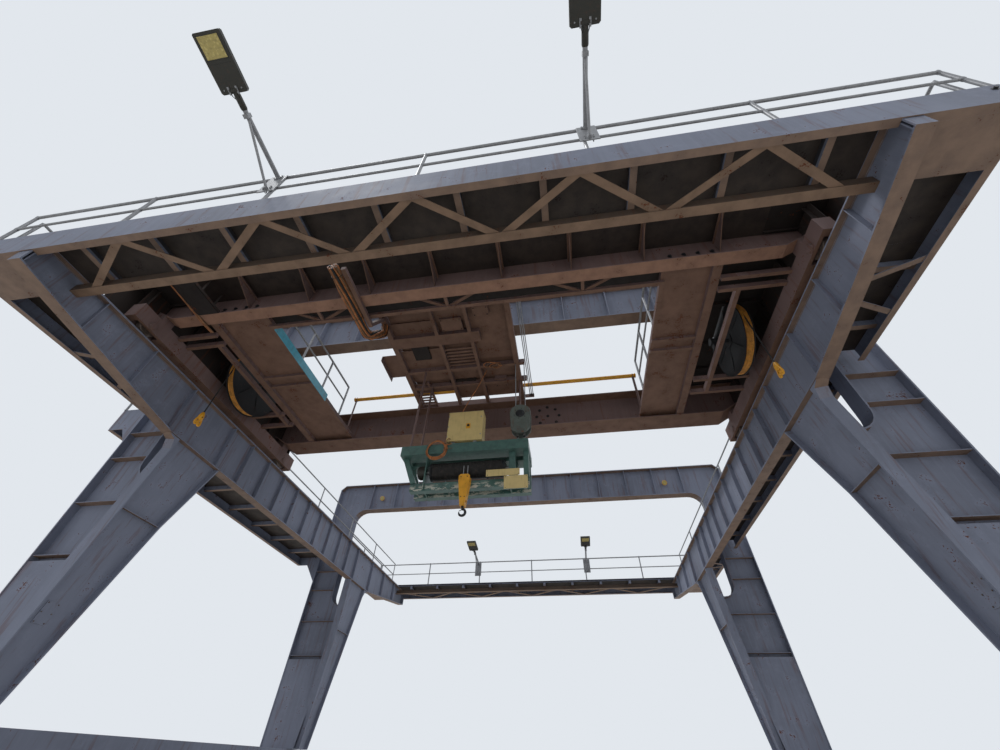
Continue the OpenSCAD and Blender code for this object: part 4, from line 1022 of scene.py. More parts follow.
class CRANE_OT_decks(Maker, bpy.types.Operator):
    """Sheet decks, end webs and cable tray of the bridge, sheets on the trolley, and the guard pipe."""

    bl_idname = "crane.decks"
    bl_label = "Bridge and trolley decks"

    def execute(self, context):
        self.prepare(context)
        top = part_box("bridge_rear")[1].z - 0.04
        shape = Shape()
        self.reel_decks(shape, top)
        self.walkway_ends(shape)
        low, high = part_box("bridge_truss")
        shape.block((low.x, low.y, high.z + 0.004), (high.x, high.y + 0.043, high.z + 0.010))
        self.end_webs(shape, top)
        self.tray(shape)
        # Every sheet and web here takes the near-black paint, as painted shadow.
        shape.finish("bridge_decks", "bridge", ["shadow"], "bridge_paint")
        self.trolley_decks()
        self.pipe()
        return {"FINISHED"}

    def reel_decks(self, shape, top):
        """Sheet over each reel's bay, slotted for the reel, on angle ribs."""
        tie_low, tie_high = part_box("ties")
        reel_low, reel_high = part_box("reels")
        near, far = y_at(NEAR_Y + 0.084), y_at(FAR_Y - 0.212)
        slot_near, slot_far, half_slot = reel_low.y + 0.215, reel_high.y - 0.215, 0.093
        for inner, outer, reel in ((tie_high.x, x_at(BRIDGE_END), reel_high.x - 0.085),
                                   (tie_low.x, x_at(-BRIDGE_END), reel_low.x + 0.085)):
            a, b = sorted((inner, outer))
            sheets = ((a, b, near, slot_near), (a, b, slot_far, far), (a, reel - half_slot, slot_near, slot_far),
                      (reel + half_slot, b, slot_near, slot_far))
            for x0, x1, y0, y1 in sheets:
                shape.block((x0, y0, top + 0.001), (x1, y1, top + 0.007))
            for y in (near + 0.2, near + 0.7, slot_near - 0.05, slot_far + 0.01, far - 0.6, far - 0.17):
                shape.block((a + 0.01, y, top - 0.055), (b - 0.01, y + 0.006, top + 0.001))
                shape.block((a + 0.01, y, top - 0.06), (b - 0.01, y + 0.05, top - 0.055))

    def walkway_ends(self, shape):
        """Sheet, edge strips and an end screen where the walkway reaches the ends of the bridge."""
        low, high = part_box("bridge_walkway")
        deck = low.z + 0.32
        for start, stop in ((high.x, x_at(BRIDGE_END)), (low.x, x_at(-BRIDGE_END))):
            a, b = sorted((start, stop))
            shape.block((a, low.y, deck + 0.001), (b, high.y, deck + 0.009))
            shape.block((a, low.y, deck - 0.06), (b, low.y + 0.011, deck + 0.11))
            shape.block((stop - 0.003, low.y - 0.13, deck - 0.72), (stop + 0.003, high.y, deck + 0.11))
            shape.block((a, high.y - 0.06, deck - 0.05), (b, high.y - 0.054, deck + 0.001))

    def end_webs(self, shape, top):
        """Upright webs that close the bridge above its end carriages."""
        low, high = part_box("carriages")
        seat = 6.9003
        for side in SIDES:
            x = x_at(side * 5.195)
            shape.block((x - 0.005, low.y + 0.02, seat), (x + 0.005, high.y - 0.02, top))
            a, b = sorted((x, x - side * 0.07))
            for k in range(6):
                y = low.y + 0.1 + (high.y - low.y - 0.2) * k / 5
                shape.block((a, y, seat), (b, y + 0.008, top))

    def tray(self, shape):
        """Cable tray under the left end of the walkway, with its hangers."""
        x, z = x_at(-4.30), 6.885
        near, far = y_at(-6.42), y_at(-5.77)
        shape.block((x, near, z), (x + 0.38, far, z + 0.006))
        for edge in (x, x + 0.374):
            shape.block((edge, near, z), (edge + 0.006, far, z + 0.055))
        for y in (near + 0.02 + k * 0.30 for k in range(3)):
            shape.block((x + 0.15, y, z + 0.006), (x + 0.21, y + 0.006, z + 0.515))

    def trolley_decks(self):
        """Sheet on top of the trolley's beams, in overlapping pieces, with machine seats below."""
        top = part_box("trolley_frame")[1].z + 0.001
        shape = Shape()
        # Pieces with finish 1 take the near-black paint, as painted shadow.
        for x0, x1, y0, y1, paint in ((-1.64, 0.66, -4.90, -2.37, 0), (-0.75, 0.66, -5.42, -4.905, 0),
                                      (-1.64, -1.30, -5.42, -4.905, 1)):
            shape.block((x_at(x0), y_at(y0), top), (x_at(x1), y_at(y1), top + 0.006), paint)
        for x, y, wide, deep, drop, paint in (
            (-0.42, -4.35, 0.42, 0.30, 0.10, 0), (-1.22, -3.72, 0.34, 0.46, 0.09, 1),
            (0.20, -4.62, 0.30, 0.22, 0.13, 0), (-0.55, -2.66, 0.60, 0.16, 0.07, 1),
            (0.30, -2.62, 0.26, 0.24, 0.11, 0),
        ):
            c, half = at(x, y, top), Vector((wide / 2, deep / 2, 0))
            shape.block(c - half - Z * drop, c + half - Z * 0.0005, paint)
            for sx in SIDES:
                for sy in SIDES:
                    foot = Vector((sx * (wide / 2 - 0.03), sy * (deep / 2 - 0.03), -drop))
                    shape.bolt(c + foot, -Z, 0.012, 0.012, 1)
        shape.finish("trolley_decks", "trolley", ["bridge", "shadow"], "bridge_paint", (), 0.002)

    def pipe(self):
        """Yellow pipe across the opening, clamped to a post at each end."""
        low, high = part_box("guard_pipe")
        radius = 0.0425
        y, z = (low.y + high.y) / 2, high.z - radius
        under = z - radius + 0.004
        shape = Shape()
        shape.rod((low.x + 0.02, y, z), (high.x - 0.02, y, z), radius, 28, 0)
        for x, s in ((low.x + 0.02, -1), (high.x - 0.02, 1)):
            post = x - s * 0.06
            shape.turned([(-0.012, radius), (-0.012, radius + 0.012), (0.0, radius + 0.012), (0.012, radius * 0.7)],
                         (x, y, z), X * s, 28, 0)
            shape.block((post - 0.02, y - 0.025, low.z), (post + 0.02, y - 0.019, under), 1)
            shape.block((post - 0.02, y - 0.025, low.z), (post - 0.014, y + 0.02, under), 1)
            shape.tube(circle((post, y, z), Y, Z, radius + 0.004, 24), 0.006, 8, 1, True)
        for x in (-2.1, -0.9, 0.3, 1.5, 2.6):
            shape.turned([(0, radius), (0.004, radius + 0.002), (0.02, radius + 0.002), (0.024, radius)],
                         (x_at(x), y, z), X, 28, 0)
        shape.finish("guard_pipe_fitted", "bridge", ["yellow", "bridge"], "safety_yellow", ("guard_pipe",))


class CRANE_OT_reels(Maker, bpy.types.Operator):
    """Cable reels: pressed side discs, wound yellow cable, hub and bearing post."""

    bl_idname = "crane.reels"
    bl_label = "Cable reels"

    def execute(self, context):
        self.prepare(context)
        low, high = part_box("reels")
        shape = Shape()
        radius = (high.z - low.z) / 2
        for side in SIDES:
            self.reel(shape, Vector((x_at(side * 4.65), (low.y + high.y) / 2, high.z - radius)), radius)
        for x, reel in ((x_at(-4.36), x_at(-4.65)), (x_at(4.31), x_at(4.65))):
            self.bearing(shape, Vector((x, (low.y + high.y) / 2, high.z - radius)), reel)
        shape.finish("reels_fitted", "bridge", ["reel_side", "wound", "black_cable", "dark"], "dark_steel", ("reels",))
        return {"FINISHED"}

    def reel(self, shape, c, radius):
        """One reel about an axis along X."""
        disc = [(0.0, radius * 0.2), (0.006, radius * 0.34), (-0.004, radius * 0.5), (-0.004, radius * 0.8),
                (0.004, radius * 0.9), (0.004, radius * 0.985)]
        disc += [(out - 0.008, r) for out, r in reversed(disc)]
        for s in SIDES:
            shape.turned(disc, c + X * s * 0.072, X * s, 48, 0, closed=True)
            shape.tube(circle(c + X * s * 0.071, Y, Z, radius * 0.985, 64), radius * 0.0145, 8, 0, True)
            for ray in map(spoke, turns(6)):
                shape.rod(c + X * s * 0.076 + ray * 0.1, c + X * s * 0.073 + ray * radius * 0.9, 0.009, 8, 0)
        for k in range(6):
            lap = circle(c + X * (k - 2.5) * 0.0225, Y, Z, radius * 0.94 + 0.005 * (k % 2), 56)
            wound = [p + X * 0.003 * math.sin(5 * i + k) for i, p in enumerate(lap)]
            shape.tube(wound, 0.0112, 8, 1, True)
        shape.turned([(-0.065, radius * 0.925), (0.065, radius * 0.925)], c, X, 48, 2)
        shape.turned(both_ways([(0.084, 0.05), (0.084, 0.125)]), c, X, 28, 0)

    def bearing(self, shape, c, reel):
        """Post with the bearing of a reel, and the axle to it."""
        foot = 6.9403
        shape.rod(c, (reel, c.y, c.z), 0.035, 20, 3)
        shape.block((c.x - 0.05, c.y - 0.06, foot), (c.x + 0.05, c.y + 0.06, foot + 0.02), 0)
        shape.block((c.x - 0.03, c.y - 0.045, foot + 0.02), (c.x + 0.03, c.y + 0.045, c.z - 0.05), 0)
        shape.turned([(-0.05, 0.07), (0.05, 0.07)], c, X, 24, 0)
        for dy in (-0.045, 0.045):
            for dx in (-0.035, 0.035):
                shape.bolt((c.x + dx, c.y + dy, foot + 0.02), Z, 0.011, 0.014, 3)


class CRANE_OT_pendants(Maker, bpy.types.Operator):
    """Ropes that hang from the reels, each with a yellow grip block."""

    bl_idname = "crane.pendants"
    bl_label = "Pendant ropes"

    def execute(self, context):
        sizes = self.prepare(context)
        low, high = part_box("pendants")
        for name, x in (("left", x_at(-4.65)), ("right", x_at(4.65))):
            foot = Vector((x, (low.y + high.y) / 2, low.z))
            block = self.grip("grip_" + name, foot)
            rope = Shape()
            path = stretch((x, foot.y, high.z), foot + Z * 0.06, 120)
            rope.rope(path, sizes.pendant / 2, 0.11)
            line = rope.finish("pendant_" + name, "bridge", ["black_cable"], "safety_yellow", ("pendants",))
            (path[0] - path[-1]).length
        return {"FINISHED"}

    def grip(self, name, foot):
        """Yellow block with two lobes at the end of a rope."""
        grip = Shape()
        top = 0.30
        rings = ((0.11, 0.030, 0.024), (0.13, 0.056, 0.032), (0.20, 0.050, 0.034), (top - 0.05, 0.032, 0.028),
                 (top - 0.03, 0.02, 0.02))
        grip.loft([circle(foot + Z * up, X * deep, Y * wide, 1, 20) for up, wide, deep in rings], 0)
        grip.turned([(0, 0.014), (0.03, 0.011)], foot + Z * (top - 0.032), Z, 14, 1)
        lobe = ((0.014, 0.150), (0.006, 0.085), (0.014, 0.030), (0.042, 0.017), (0.061, 0.045), (0.054, 0.100),
                (0.036, 0.150))
        for s in SIDES:
            grip.tube(smooth_path([foot + Y * s * out + Z * up for out, up in lobe], 6), 0.016, 12, 0)
            grip.turned(both_ways([(0.020, 0.012), (0.014, 0.019)]), foot + Y * s * 0.034 + Z * 0.055, X, 14, 0)
        grip.turned([(0, 0.012), (0.006, 0.010)], foot + X * 0.030 + Z * 0.165, X, 14, 1)
        return grip.finish(name, "bridge", ["yellow", "dark"], "safety_yellow", (), 0.0015)


class CRANE_OT_hoist(Maker, bpy.types.Operator):
    """Grooved rope drum with its motor, and the fittings on the hoist frame."""

    bl_idname = "crane.hoist"
    bl_label = "Hoist drum and fittings"

    def execute(self, context):
        self.prepare(context)
        self.drum()
        self.plates()
        self.motor()
        return {"FINISHED"}

    def drum(self):
        """Grooved drum between two flanges, wound with rope, and its own motor."""
        low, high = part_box("hoist_drum")
        shape = Shape()
        radius = (high.z - low.z) / 2 - 0.01
        c = Vector((0, (low.y + high.y) / 2, (low.z + high.z) / 2))
        left, right = low.x + 0.17, high.x
        start, stop = left + 0.09, right - 0.09
        steps = 44 * 4
        groove = [(start + (stop - start) * i / steps, radius - 0.007 + 0.007 * math.cos(math.tau * i / 4))
                  for i in range(steps + 1)]
        shape.turned(groove, c, X, 40, 0)
        for x, d in ((start, -1), (stop, 1)):
            shape.turned([(-0.01, radius + 0.009), (0.01, radius + 0.009)], (x + d * 0.01, c.y, c.z), X, 48, 0)
            for a in turns(8):
                shape.bolt(Vector((x + d * 0.02, c.y, c.z)) + spoke(a) * 0.1, X * d, 0.012, 0.012, 1)
        shape.rod((left, c.y, c.z), (right, c.y, c.z), 0.04, 20, 1)
        laps, wound = 62, (radius - 0.001) * 0.985
        pitch = (stop - start - 0.04) / laps
        path = []
        for i in range(laps * 20 + 1):
            a = math.tau * i / 20
            path.append((start + 0.02 + pitch * i / 20, c.y - wound * math.cos(a), c.z + wound * math.sin(a)))
        shape.tube(path, 0.0075, 6, 2)
        motor = Vector((low.x, c.y, c.z))
        shape.turned([(0.0, radius * 0.5), (0.012, radius * 0.72), (0.03, radius * 0.74), (0.15, radius * 0.74)],
                     motor, X, 36, 3)
        shape.fins(motor, 28, radius * 0.72, 0.035, 0.145, 0.014, 3)
        shape.finish("hoist_drum_fitted", "trolley", ["dark", "bright", "old_rope", "lamp_case"], "dark_steel",
                     ("hoist_drum",))

    def plates(self):
        """Bare riveted plates on the front of the hoist frame."""
        shape = Shape()
        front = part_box("hoist_frame")[0].y
        for x0, x1, z0, z1 in ((0.19, 0.75, 5.04, 5.16), (0.49, 0.88, 4.80, 5.03)):
            shape.block((x_at(x0), front - 0.0085, z0), (x_at(x1), front - 0.0015, z1), 0)
            for x in (x0 + 0.025, x1 - 0.025):
                for z in (z0 + 0.02, z1 - 0.02):
                    shape.turned([(0, 0.007), (0.003, 0.006)], (x_at(x), front - 0.0085, z), -Y, 10, 1)
        for x in (x_at(0.22), x_at(0.70)):
            shape.block((x - 0.012, front - 0.0015, 5.0), (x + 0.012, front + 0.01, 5.15), 1)
        shape.finish("hoist_plates", "trolley", ["cream", "dark"], "cabinet_cream", (), 0.0008)

    def motor(self):
        """Finned motor on two feet on top of the hoist frame."""
        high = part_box("hoist_frame")[1]
        shape = Shape()
        start = Vector((x_at(0.16), high.y - 0.24, high.z + 0.12))
        shape.turned([(0, 0.05), (0.01, 0.085), (0.05, 0.09), (0.3, 0.09), (0.31, 0.1), (0.335, 0.1), (0.34, 0.05)],
                     start, X, 32, 0)
        shape.fins(start, 22, 0.086, 0.06, 0.29, 0.016)
        for x in (0.07, 0.25):
            shape.block(start + Vector((x, -0.06, -0.1195)), start + Vector((x + 0.03, 0.06, -0.07)), 0)
        shape.finish("hoist_motor", "trolley", ["dark"], "dark_steel", (), 0.002)


class CRANE_OT_hook(Maker, bpy.types.Operator):
    """Hook block with its sheave, forged hook with a latch, and the ropes above."""

    bl_idname = "crane.hook"
    bl_label = "Hook"

    def execute(self, context):
        sizes = self.prepare(context)
        self.block()
        self.forging()
        self.ropes(sizes)
        return {"FINISHED"}

    def block(self):
        """Two side plates over a sheave, with a cross head below."""
        low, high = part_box("hook_block")
        x, y = middle(low, high)
        axle = high.z - 0.11
        shape = Shape()
        wide, tall = (high.x - low.x) / 2, high.z - low.z
        outline = [(-0.04, 0.0), (0.04, 0.0), (wide, tall - 0.12), (wide, tall - 0.03), (wide - 0.03, tall),
                   (-wide + 0.03, tall), (-wide, tall - 0.03), (-wide, tall - 0.12)]
        for s in SIDES:
            near = y + s * 0.06
            shape.prism([(x + a, near, low.z + b) for a, b in outline], (0, -s * 0.014, 0))
            shape.turned([(0, 0.036), (0.0, 0.03), (0.004, 0.028)], (x, near - s * 0.006, axle), Y * s, 24, 1)
            for dx, dz in ((-0.055, tall - 0.05), (0.055, tall - 0.05), (-0.03, 0.14), (0.03, 0.14)):
                shape.bolt((x + dx, near - s * 0.004, low.z + dz), Y * s, 0.011, 0.006, 1, 0.010)
        shape.turned(both_ways([(0.035, 0.03), (0.035, 0.085), (0.012, 0.07)]), (x, y, axle), Y, 32, 1)
        shape.block((x - 0.045, y - 0.05, low.z + 0.002), (x + 0.045, y + 0.05, low.z + 0.07), 0)
        shape.block((x - wide * 0.7, y - 0.046, low.z + tall * 0.42),
                    (x + wide * 0.7, y + 0.046, low.z + tall * 0.52), 0)
        strap = ((wide - 0.012, high.z - 0.125), (wide - 0.002, high.z - 0.125), (0.052, low.z + 0.1),
                 (0.042, low.z + 0.1))
        for s in SIDES:
            shape.prism([(x + s * out, y - 0.046, z) for out, z in strap], (0, 0.092, 0))
        shape.finish("hook_block_fitted", "hook", ["yellow", "dark"], "safety_yellow", ("hook_block",), 0.002)

    def forging(self):
        """The hook: a thick forged bow with a pointed tip, shank, nut and latch."""
        low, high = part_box("hook")
        x, y = middle(low, high)
        centre = Vector((x, y, low.z + 0.074))
        path, radii = [], []
        for t in (i / 36 for i in range(37)):
            a = math.radians(100 - 300 * t)
            path.append(centre + Vector((math.cos(a), 0, math.sin(a))) * 0.052)
            radii.append(0.0165 + 0.0045 * math.sin(math.pi * min(1, t * 1.15)) - 0.012 * max(0.0, t - 0.8) / 0.2)
        shape = Shape()
        shape.tube(path, radii, 20)
        shape.turned([(0, 0.016), (0.02, 0.02), (0.05, 0.021), (high.z - centre.z - 0.045, 0.021)],
                     centre + Z * 0.045, Z, 24)
        shape.turned([(0, 0.0215), (0.004, 0.0222), (0.022, 0.0222), (0.026, 0.0215)], (x, y, high.z - 0.03), Z, 6)
        tip, near = path[-1], y - 0.006
        shape.prism([(x - 0.010, near, centre.z + 0.05), (x + 0.010, near, centre.z + 0.05),
                     (tip.x + 0.006, near, tip.z + 0.006), (tip.x - 0.004, near, tip.z + 0.012)], (0, 0.012, 0), 1)
        shape.finish("hook_forged", "hook", ["dark", "bright"], "dark_steel", ("hook",))

    def ropes(self, sizes):
        """Two falls of twisted rope."""
        low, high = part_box("hook_ropes")
        y = (low.y + high.y) / 2
        shape = Shape()
        for x in (low.x + 0.009, high.x - 0.009):
            shape.rope(stretch((x, y, low.z), (x, y, high.z), 60), sizes.rope / 2, 0.12)
        piece = shape.loose("hook_ropes_twisted", [PAINTS["zinc"]])
        bpy.context.scene.collection.objects.link(piece)
        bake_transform(piece)
        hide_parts("hook_ropes")


class CRANE_OT_cabinet(Maker, bpy.types.Operator):
    """Electric cabinet with its door, hinges, lock, switch and glands."""

    bl_idname = "crane.cabinet"
    bl_label = "Electric cabinet"

    def execute(self, context):
        self.prepare(context)
        low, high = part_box("cabinet")
        base, mid = low.z + 0.06, (low.x + high.x) / 2
        shape = Shape()
        shape.block((low.x, low.y + 0.02, base), (high.x, high.y, high.z - 0.006))
        shape.block((low.x + 0.004, low.y + 0.016, base + 0.004), (high.x - 0.004, low.y + 0.021, high.z - 0.004), 2)
        shape.block((low.x + 0.002, low.y, base + 0.003), (high.x - 0.002, low.y + 0.016, high.z - 0.003))
        shape.block((low.x - 0.004, low.y + 0.0012, high.z - 0.012), (high.x + 0.004, high.y + 0.004, high.z), 0)
        for z in (base + 0.08, base + 0.30, high.z - 0.12):
            shape.rod((low.x + 0.012, low.y + 0.002, z), (low.x + 0.012, low.y + 0.002, z + 0.05), 0.006, 10, 1)
        shape.block((mid + 0.02, low.y - 0.003, base + 0.26), (mid + 0.10, low.y + 0.001, base + 0.38), 3)
        shape.turned([(0, 0.026), (0.012, 0.024), (0.014, 0.02)], (mid + 0.06, low.y - 0.002, base + 0.33), -Y, 24, 2)
        shape.block((mid + 0.053, low.y - 0.022, base + 0.308), (mid + 0.067, low.y - 0.012, base + 0.352), 2)
        for z in (base + 0.12, high.z - 0.14):
            shape.turned([(0, 0.014), (0.004, 0.013)], (high.x - 0.035, low.y + 0.0, z), -Y, 20, 1)
        for x in (low.x + 0.12 + i * 0.09 for i in range(5)):
            shape.turned([(0, 0.016), (0.012, 0.016), (0.014, 0.011), (0.03, 0.011)],
                         (x, (low.y + high.y) / 2, base), -Z, 8, 2)
        for x in (mid - 0.2, mid + 0.2):
            for y0, y1, top in ((low.y + 0.02, high.y - 0.04, low.z + 0.006),
                                (low.y + 0.024, low.y + 0.03, base + 0.002),
                                (high.y - 0.05, high.y - 0.044, base + 0.002)):
                shape.block((x - 0.03, y0, low.z), (x + 0.03, y1, top), 1)
        shape.finish("cabinet_fitted", "trolley", ["cream", "zinc", "lamp_case", "yellow"], "cabinet_cream",
                     ("cabinet",), 0.002)
        return {"FINISHED"}


class CRANE_OT_sheave(Maker, bpy.types.Operator):
    """Sheave block at the right end of the hoist, with its hanger links."""

    bl_idname = "crane.sheave"
    bl_label = "Sheave block"

    def execute(self, context):
        self.prepare(context)
        low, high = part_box("sheave_block")
        x, y = middle(low, high)
        shape = Shape()
        for s in SIDES:
            rings = []
            for out, grow in ((0.098, -0.02), (0.1, -0.008), (0.084, 0.0), (0.06, 0.0)):
                ring = []
                for a in turns(36):
                    rise, radius = (0.57, 0.195 + grow) if math.sin(a) > 0 else (0.30, 0.18 + grow)
                    ring.append((x + radius * math.cos(a), y + s * out, HOIST_TOP + rise + radius * math.sin(a)))
                rings.append(ring)
            shape.loft(rings, 0)
            shape.turned([(0, 0.085), (0.012, 0.08), (0.02, 0.05), (0.03, 0.048)], (x, y + s * 0.098, SHEAVE_Z),
                         Y * s, 28, 1)
            for a in turns(6):
                spot = (x + 0.115 * math.cos(a + 0.3), y + s * 0.099, SHEAVE_Z + 0.115 * math.sin(a + 0.3))
                shape.bolt(spot, Y * s, 0.010, 0.008, 1, 0.009)
        shape.turned(both_ways([(0.05, 0.05), (0.05, 0.175), (0.018, 0.15)]), (x, y, SHEAVE_Z), Y, 40, 1)
        shape.rod((x, y - 0.125, SHEAVE_Z), (x, y + 0.125, SHEAVE_Z), 0.03, 20, 2)
        for s in SIDES:
            link, fall = x + s * 0.06, x + s * 0.09
            shape.block((link - 0.018, y - 0.010, HOIST_TOP + 0.0003), (link + 0.018, y + 0.010, HOIST_TOP + 0.36), 2)
            shape.turned([(-0.016, 0.02), (0.016, 0.02)], (link, y, HOIST_TOP + 0.09), Y, 18, 1)
            shape.rope(stretch((fall, y, HOIST_TOP + 0.62), (fall, y, high.z), 70), 0.0095, 0.12, 3)
        shape.finish("sheave_block_fitted", "trolley", ["sheave", "dark", "bright", "zinc"], "dark_steel",
                     ("sheave_block",), 0.002)
        return {"FINISHED"}


class CRANE_OT_cables(Maker, bpy.types.Operator):
    """Cable bundle on the trolley's arm, coil on the hoist, cable to the cabinet and cables in the tray."""

    bl_idname = "crane.cables"
    bl_label = "Cables"

    def execute(self, context):
        self.prepare(context)
        shape = Shape()
        self.bundle(shape)
        self.coil(shape)
        self.knot(shape)
        drop = [at(HOIST_X + x, HOIST_Y + y, z) for x, y, z in
                ((0.29, -0.12, 7.72), (0.11, -0.15, 7.19), (-0.05, -0.18, 6.78), (-0.15, -0.20, 6.4732))]
        shape.tube(smooth_path(drop, 10), 0.008, 10, 0)
        shape.turned([(0, 0.016), (0.018, 0.015), (0.02, 0.011)], drop[-1] - Z * 0.002, Z, 12, 3)
        self.tray_cables()
        shape.finish("trolley_cables_fitted", "trolley", ["cable", "brown_cable", "black_cable", "lamp_case"],
                     "cable_orange", ("trolley_cables",))
        return {"FINISHED"}

    def bundle(self, shape):
        """Nineteen cables along the trolley's arm and up to its deck, held by ties."""
        x, y, z = -1.625, NEAR_Y, 6.825
        route = [(x, y - 0.7, z + 0.01), (x, y - 0.3, z), (x, y + 0.5, z), (x + 0.005, y + 0.66, z + 0.06),
                 (x + 0.01, y + 0.76, z + 0.16), (x - 0.03, y + 0.98, z + 0.45), (x - 0.065, y + 1.15, 7.5),
                 (x - 0.065, y + 1.15, 7.6997)]
        line = smooth_path([at(*p) for p in route], 8)
        last = len(line) - 1
        spots = [(radius, count, k) for radius, count in ((0.0, 1), (0.033, 6), (0.066, 12)) for k in range(count)]
        for number, (radius, count, k) in enumerate(spots):
            path = []
            for i, p in enumerate(line):
                a = math.tau * k / count + 0.16 * i / (1 + radius * 20) + radius * 40
                wobble = 1 + 0.1 * math.sin(i * 0.7 + number)
                ahead = (line[min(i + 1, last)] - line[max(i - 1, 0)]).normalized()
                other = X.cross(ahead).normalized()
                path.append(p + (X * math.cos(a) + other * math.sin(a)) * radius * wobble)
            shape.tube(path, 0.0165 if number % 3 else 0.0125, 8, (0, 1, 0, 2)[number % 4])
        for p in line[4:52:9]:
            shape.tube(circle(p, X, Z, 0.083, 24), 0.004, 6, 3, True)

    def tray_cables(self):
        """Cables that lie along the tray under the left end of the walkway."""
        shape = Shape()
        for k in range(4):
            route = [(-4.335 + 0.016 * k, -6.40, 6.90 + 0.012 * (k % 2)), (-4.33 + 0.016 * k, -6.1, 6.895),
                     (-4.335 + 0.015 * k, -5.8, 6.893), (-4.32 + 0.014 * k, -5.62, 6.87),
                     (-4.32 + 0.014 * k, -5.40, 6.885)]
            shape.tube(smooth_path([at(*p) for p in route], 8), 0.0085, 8, k % 2)
        shape.finish("tray_cables", "bridge", ["cable", "brown_cable"], "cable_orange")

    def coil(self, shape):
        """Spare cable wound in loops on the front of the hoist, with its ends to the cabinet."""
        centre = at(HOIST_X - 0.48, HOIST_Y - 0.33 - 0.0283, HOIST_TOP - 0.13)
        path = []
        laps, steps = 5, 40
        for i in range(laps * steps + 1):
            a, lap = math.tau * i / steps, i / steps
            radius = 0.172 + 0.014 * math.sin(lap * 2.1) + 0.006 * math.sin(a * 3 + lap)
            path.append(centre + Vector((math.cos(a) * radius, 0.017 * math.sin(lap * 1.9),
                                         math.sin(a) * radius * 1.02)))
        shape.tube(path, 0.008, 8, 0)
        for k in range(6):
            lift = 0.05 * math.sin(k * 2.3)
            start = centre + Vector((0.13, 0.0, 0.11 - 0.035 * k))
            end = Vector((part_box("cabinet")[0].x + 0.09 + 0.07 * k, centre.y + 0.16, HOIST_TOP + 0.05))
            bend = [start, start + Vector((0.07, -0.012, 0.10 + lift)), start.lerp(end, 0.6) + Z * (0.05 + lift), end]
            shape.tube(smooth_path(bend, 8), 0.0055, 6, k % 2)
        for a in (0.6, 2.7, 4.4):
            out = Vector((math.cos(a), 0, math.sin(a)))
            shape.tube(circle(centre + out * 0.174, out, Y, 0.027, 16), 0.003, 6, 3, True)

    def knot(self, shape):
        """Loose loops of cable under the trolley's deck."""
        start = at(0.21, -3.30, 7.62)
        for k in range(4):
            loop = circle(start + X * 0.03 * k, X, Vector((0, -0.75, -0.3)), 0.17 - 0.022 * k, 9)
            ring = [p + Vector((0.015 * math.sin(3 * i + k), 0.02 * k, 0.02 * math.cos(2 * i + k)))
                    for i, p in enumerate(loop)]
            shape.tube(smooth_path(ring, 5, True), 0.008, 6, k % 2, True)


class CRANE_OT_wheels(Maker, bpy.types.Operator):
    """Flanged wheels of the bridge and the trolley, with axle caps on the end carriages."""

    bl_idname = "crane.wheels"
    bl_label = "Bridge and trolley wheels"

    def execute(self, context):
        self.prepare(context)
        low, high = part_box("bridge_wheels")
        radius = (high.z - low.z) / 2
        centres = [Vector((x_at(x), y, low.z + radius)) for x in (-GIRDER_X, GIRDER_X)
                   for y in (low.y + radius, high.y - radius)]
        self.wheels("bridge", centres, X, [(0.045, 0.05), (0.045, radius * 0.94), (0.036, radius)], 44,
                    0.0597, 0.039, 24)
        self.axle_caps(centres)
        low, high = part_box("trolley_wheels")
        radius = (high.z - low.z) / 2
        centres = [Vector((x, y, low.z + radius)) for x in (low.x + radius, high.x - radius)
                   for y in (low.y + 0.08, high.y - 0.08)]
        self.wheels("trolley", centres, Y, [(0.035, 0.03), (0.035, radius * 0.95), (0.028, radius)], 36,
                    0.0797, 0.03, 20)
        return {"FINISHED"}

    def wheels(self, body, centres, axis, profile, sides, half_axle, axle_radius, axle_sides):
        """Wheels of one body on their axles."""
        shape = Shape()
        for c in centres:
            shape.turned(both_ways(profile), c, axis, sides, 0)
            shape.rod(c - axis * half_axle, c + axis * half_axle, axle_radius, axle_sides, 1)
        node = body + "_wheels"
        shape.finish(node + "_turned", body, ["rail", "dark"], "dark_steel", (node,), 0.002)

    def axle_caps(self, centres):
        """Bolted caps on both sides of the end carriages."""
        caps = Shape()
        for c in centres:
            for s in SIDES:
                face = c + X * s * 0.11
                caps.turned([(0, 0.075), (0.010, 0.075), (0.014, 0.06), (0.022, 0.055), (0.024, 0.02)],
                            face - X * s * 0.001, X * s, 32, 0)
                for a in turns(6):
                    caps.bolt(face + X * s * 0.008 + spoke(a) * 0.065, X * s, 0.008, 0.008, 1)
        caps.finish("axle_caps", "bridge", ["bridge", "rail"], "bridge_paint")


class CRANE_OT_ropes(Maker, bpy.types.Operator):
    """Twisted ropes along the trolley, with their end clamps."""

    bl_idname = "crane.ropes"
    bl_label = "Trolley ropes"

    def execute(self, context):
        self.prepare(context)
        low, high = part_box("trolley_ropes")
        shape = Shape()
        z = (low.z + high.z) / 2
        for x in (low.x + 0.01, (low.x + high.x) / 2, high.x - 0.01):
            shape.rope(stretch((x, low.y, z), (x, high.y, z), 160), 0.0095, 0.13)
            for y, d in ((low.y, 1), (high.y, -1)):
                shape.turned([(0.001, 0.014), (0.07, 0.013), (0.075, 0.0105)], (x, y, z), Y * d, 12, 1)
        shape.finish("trolley_ropes_twisted", "trolley", ["zinc", "dark"], "wire_rope", ("trolley_ropes",))
        return {"FINISHED"}


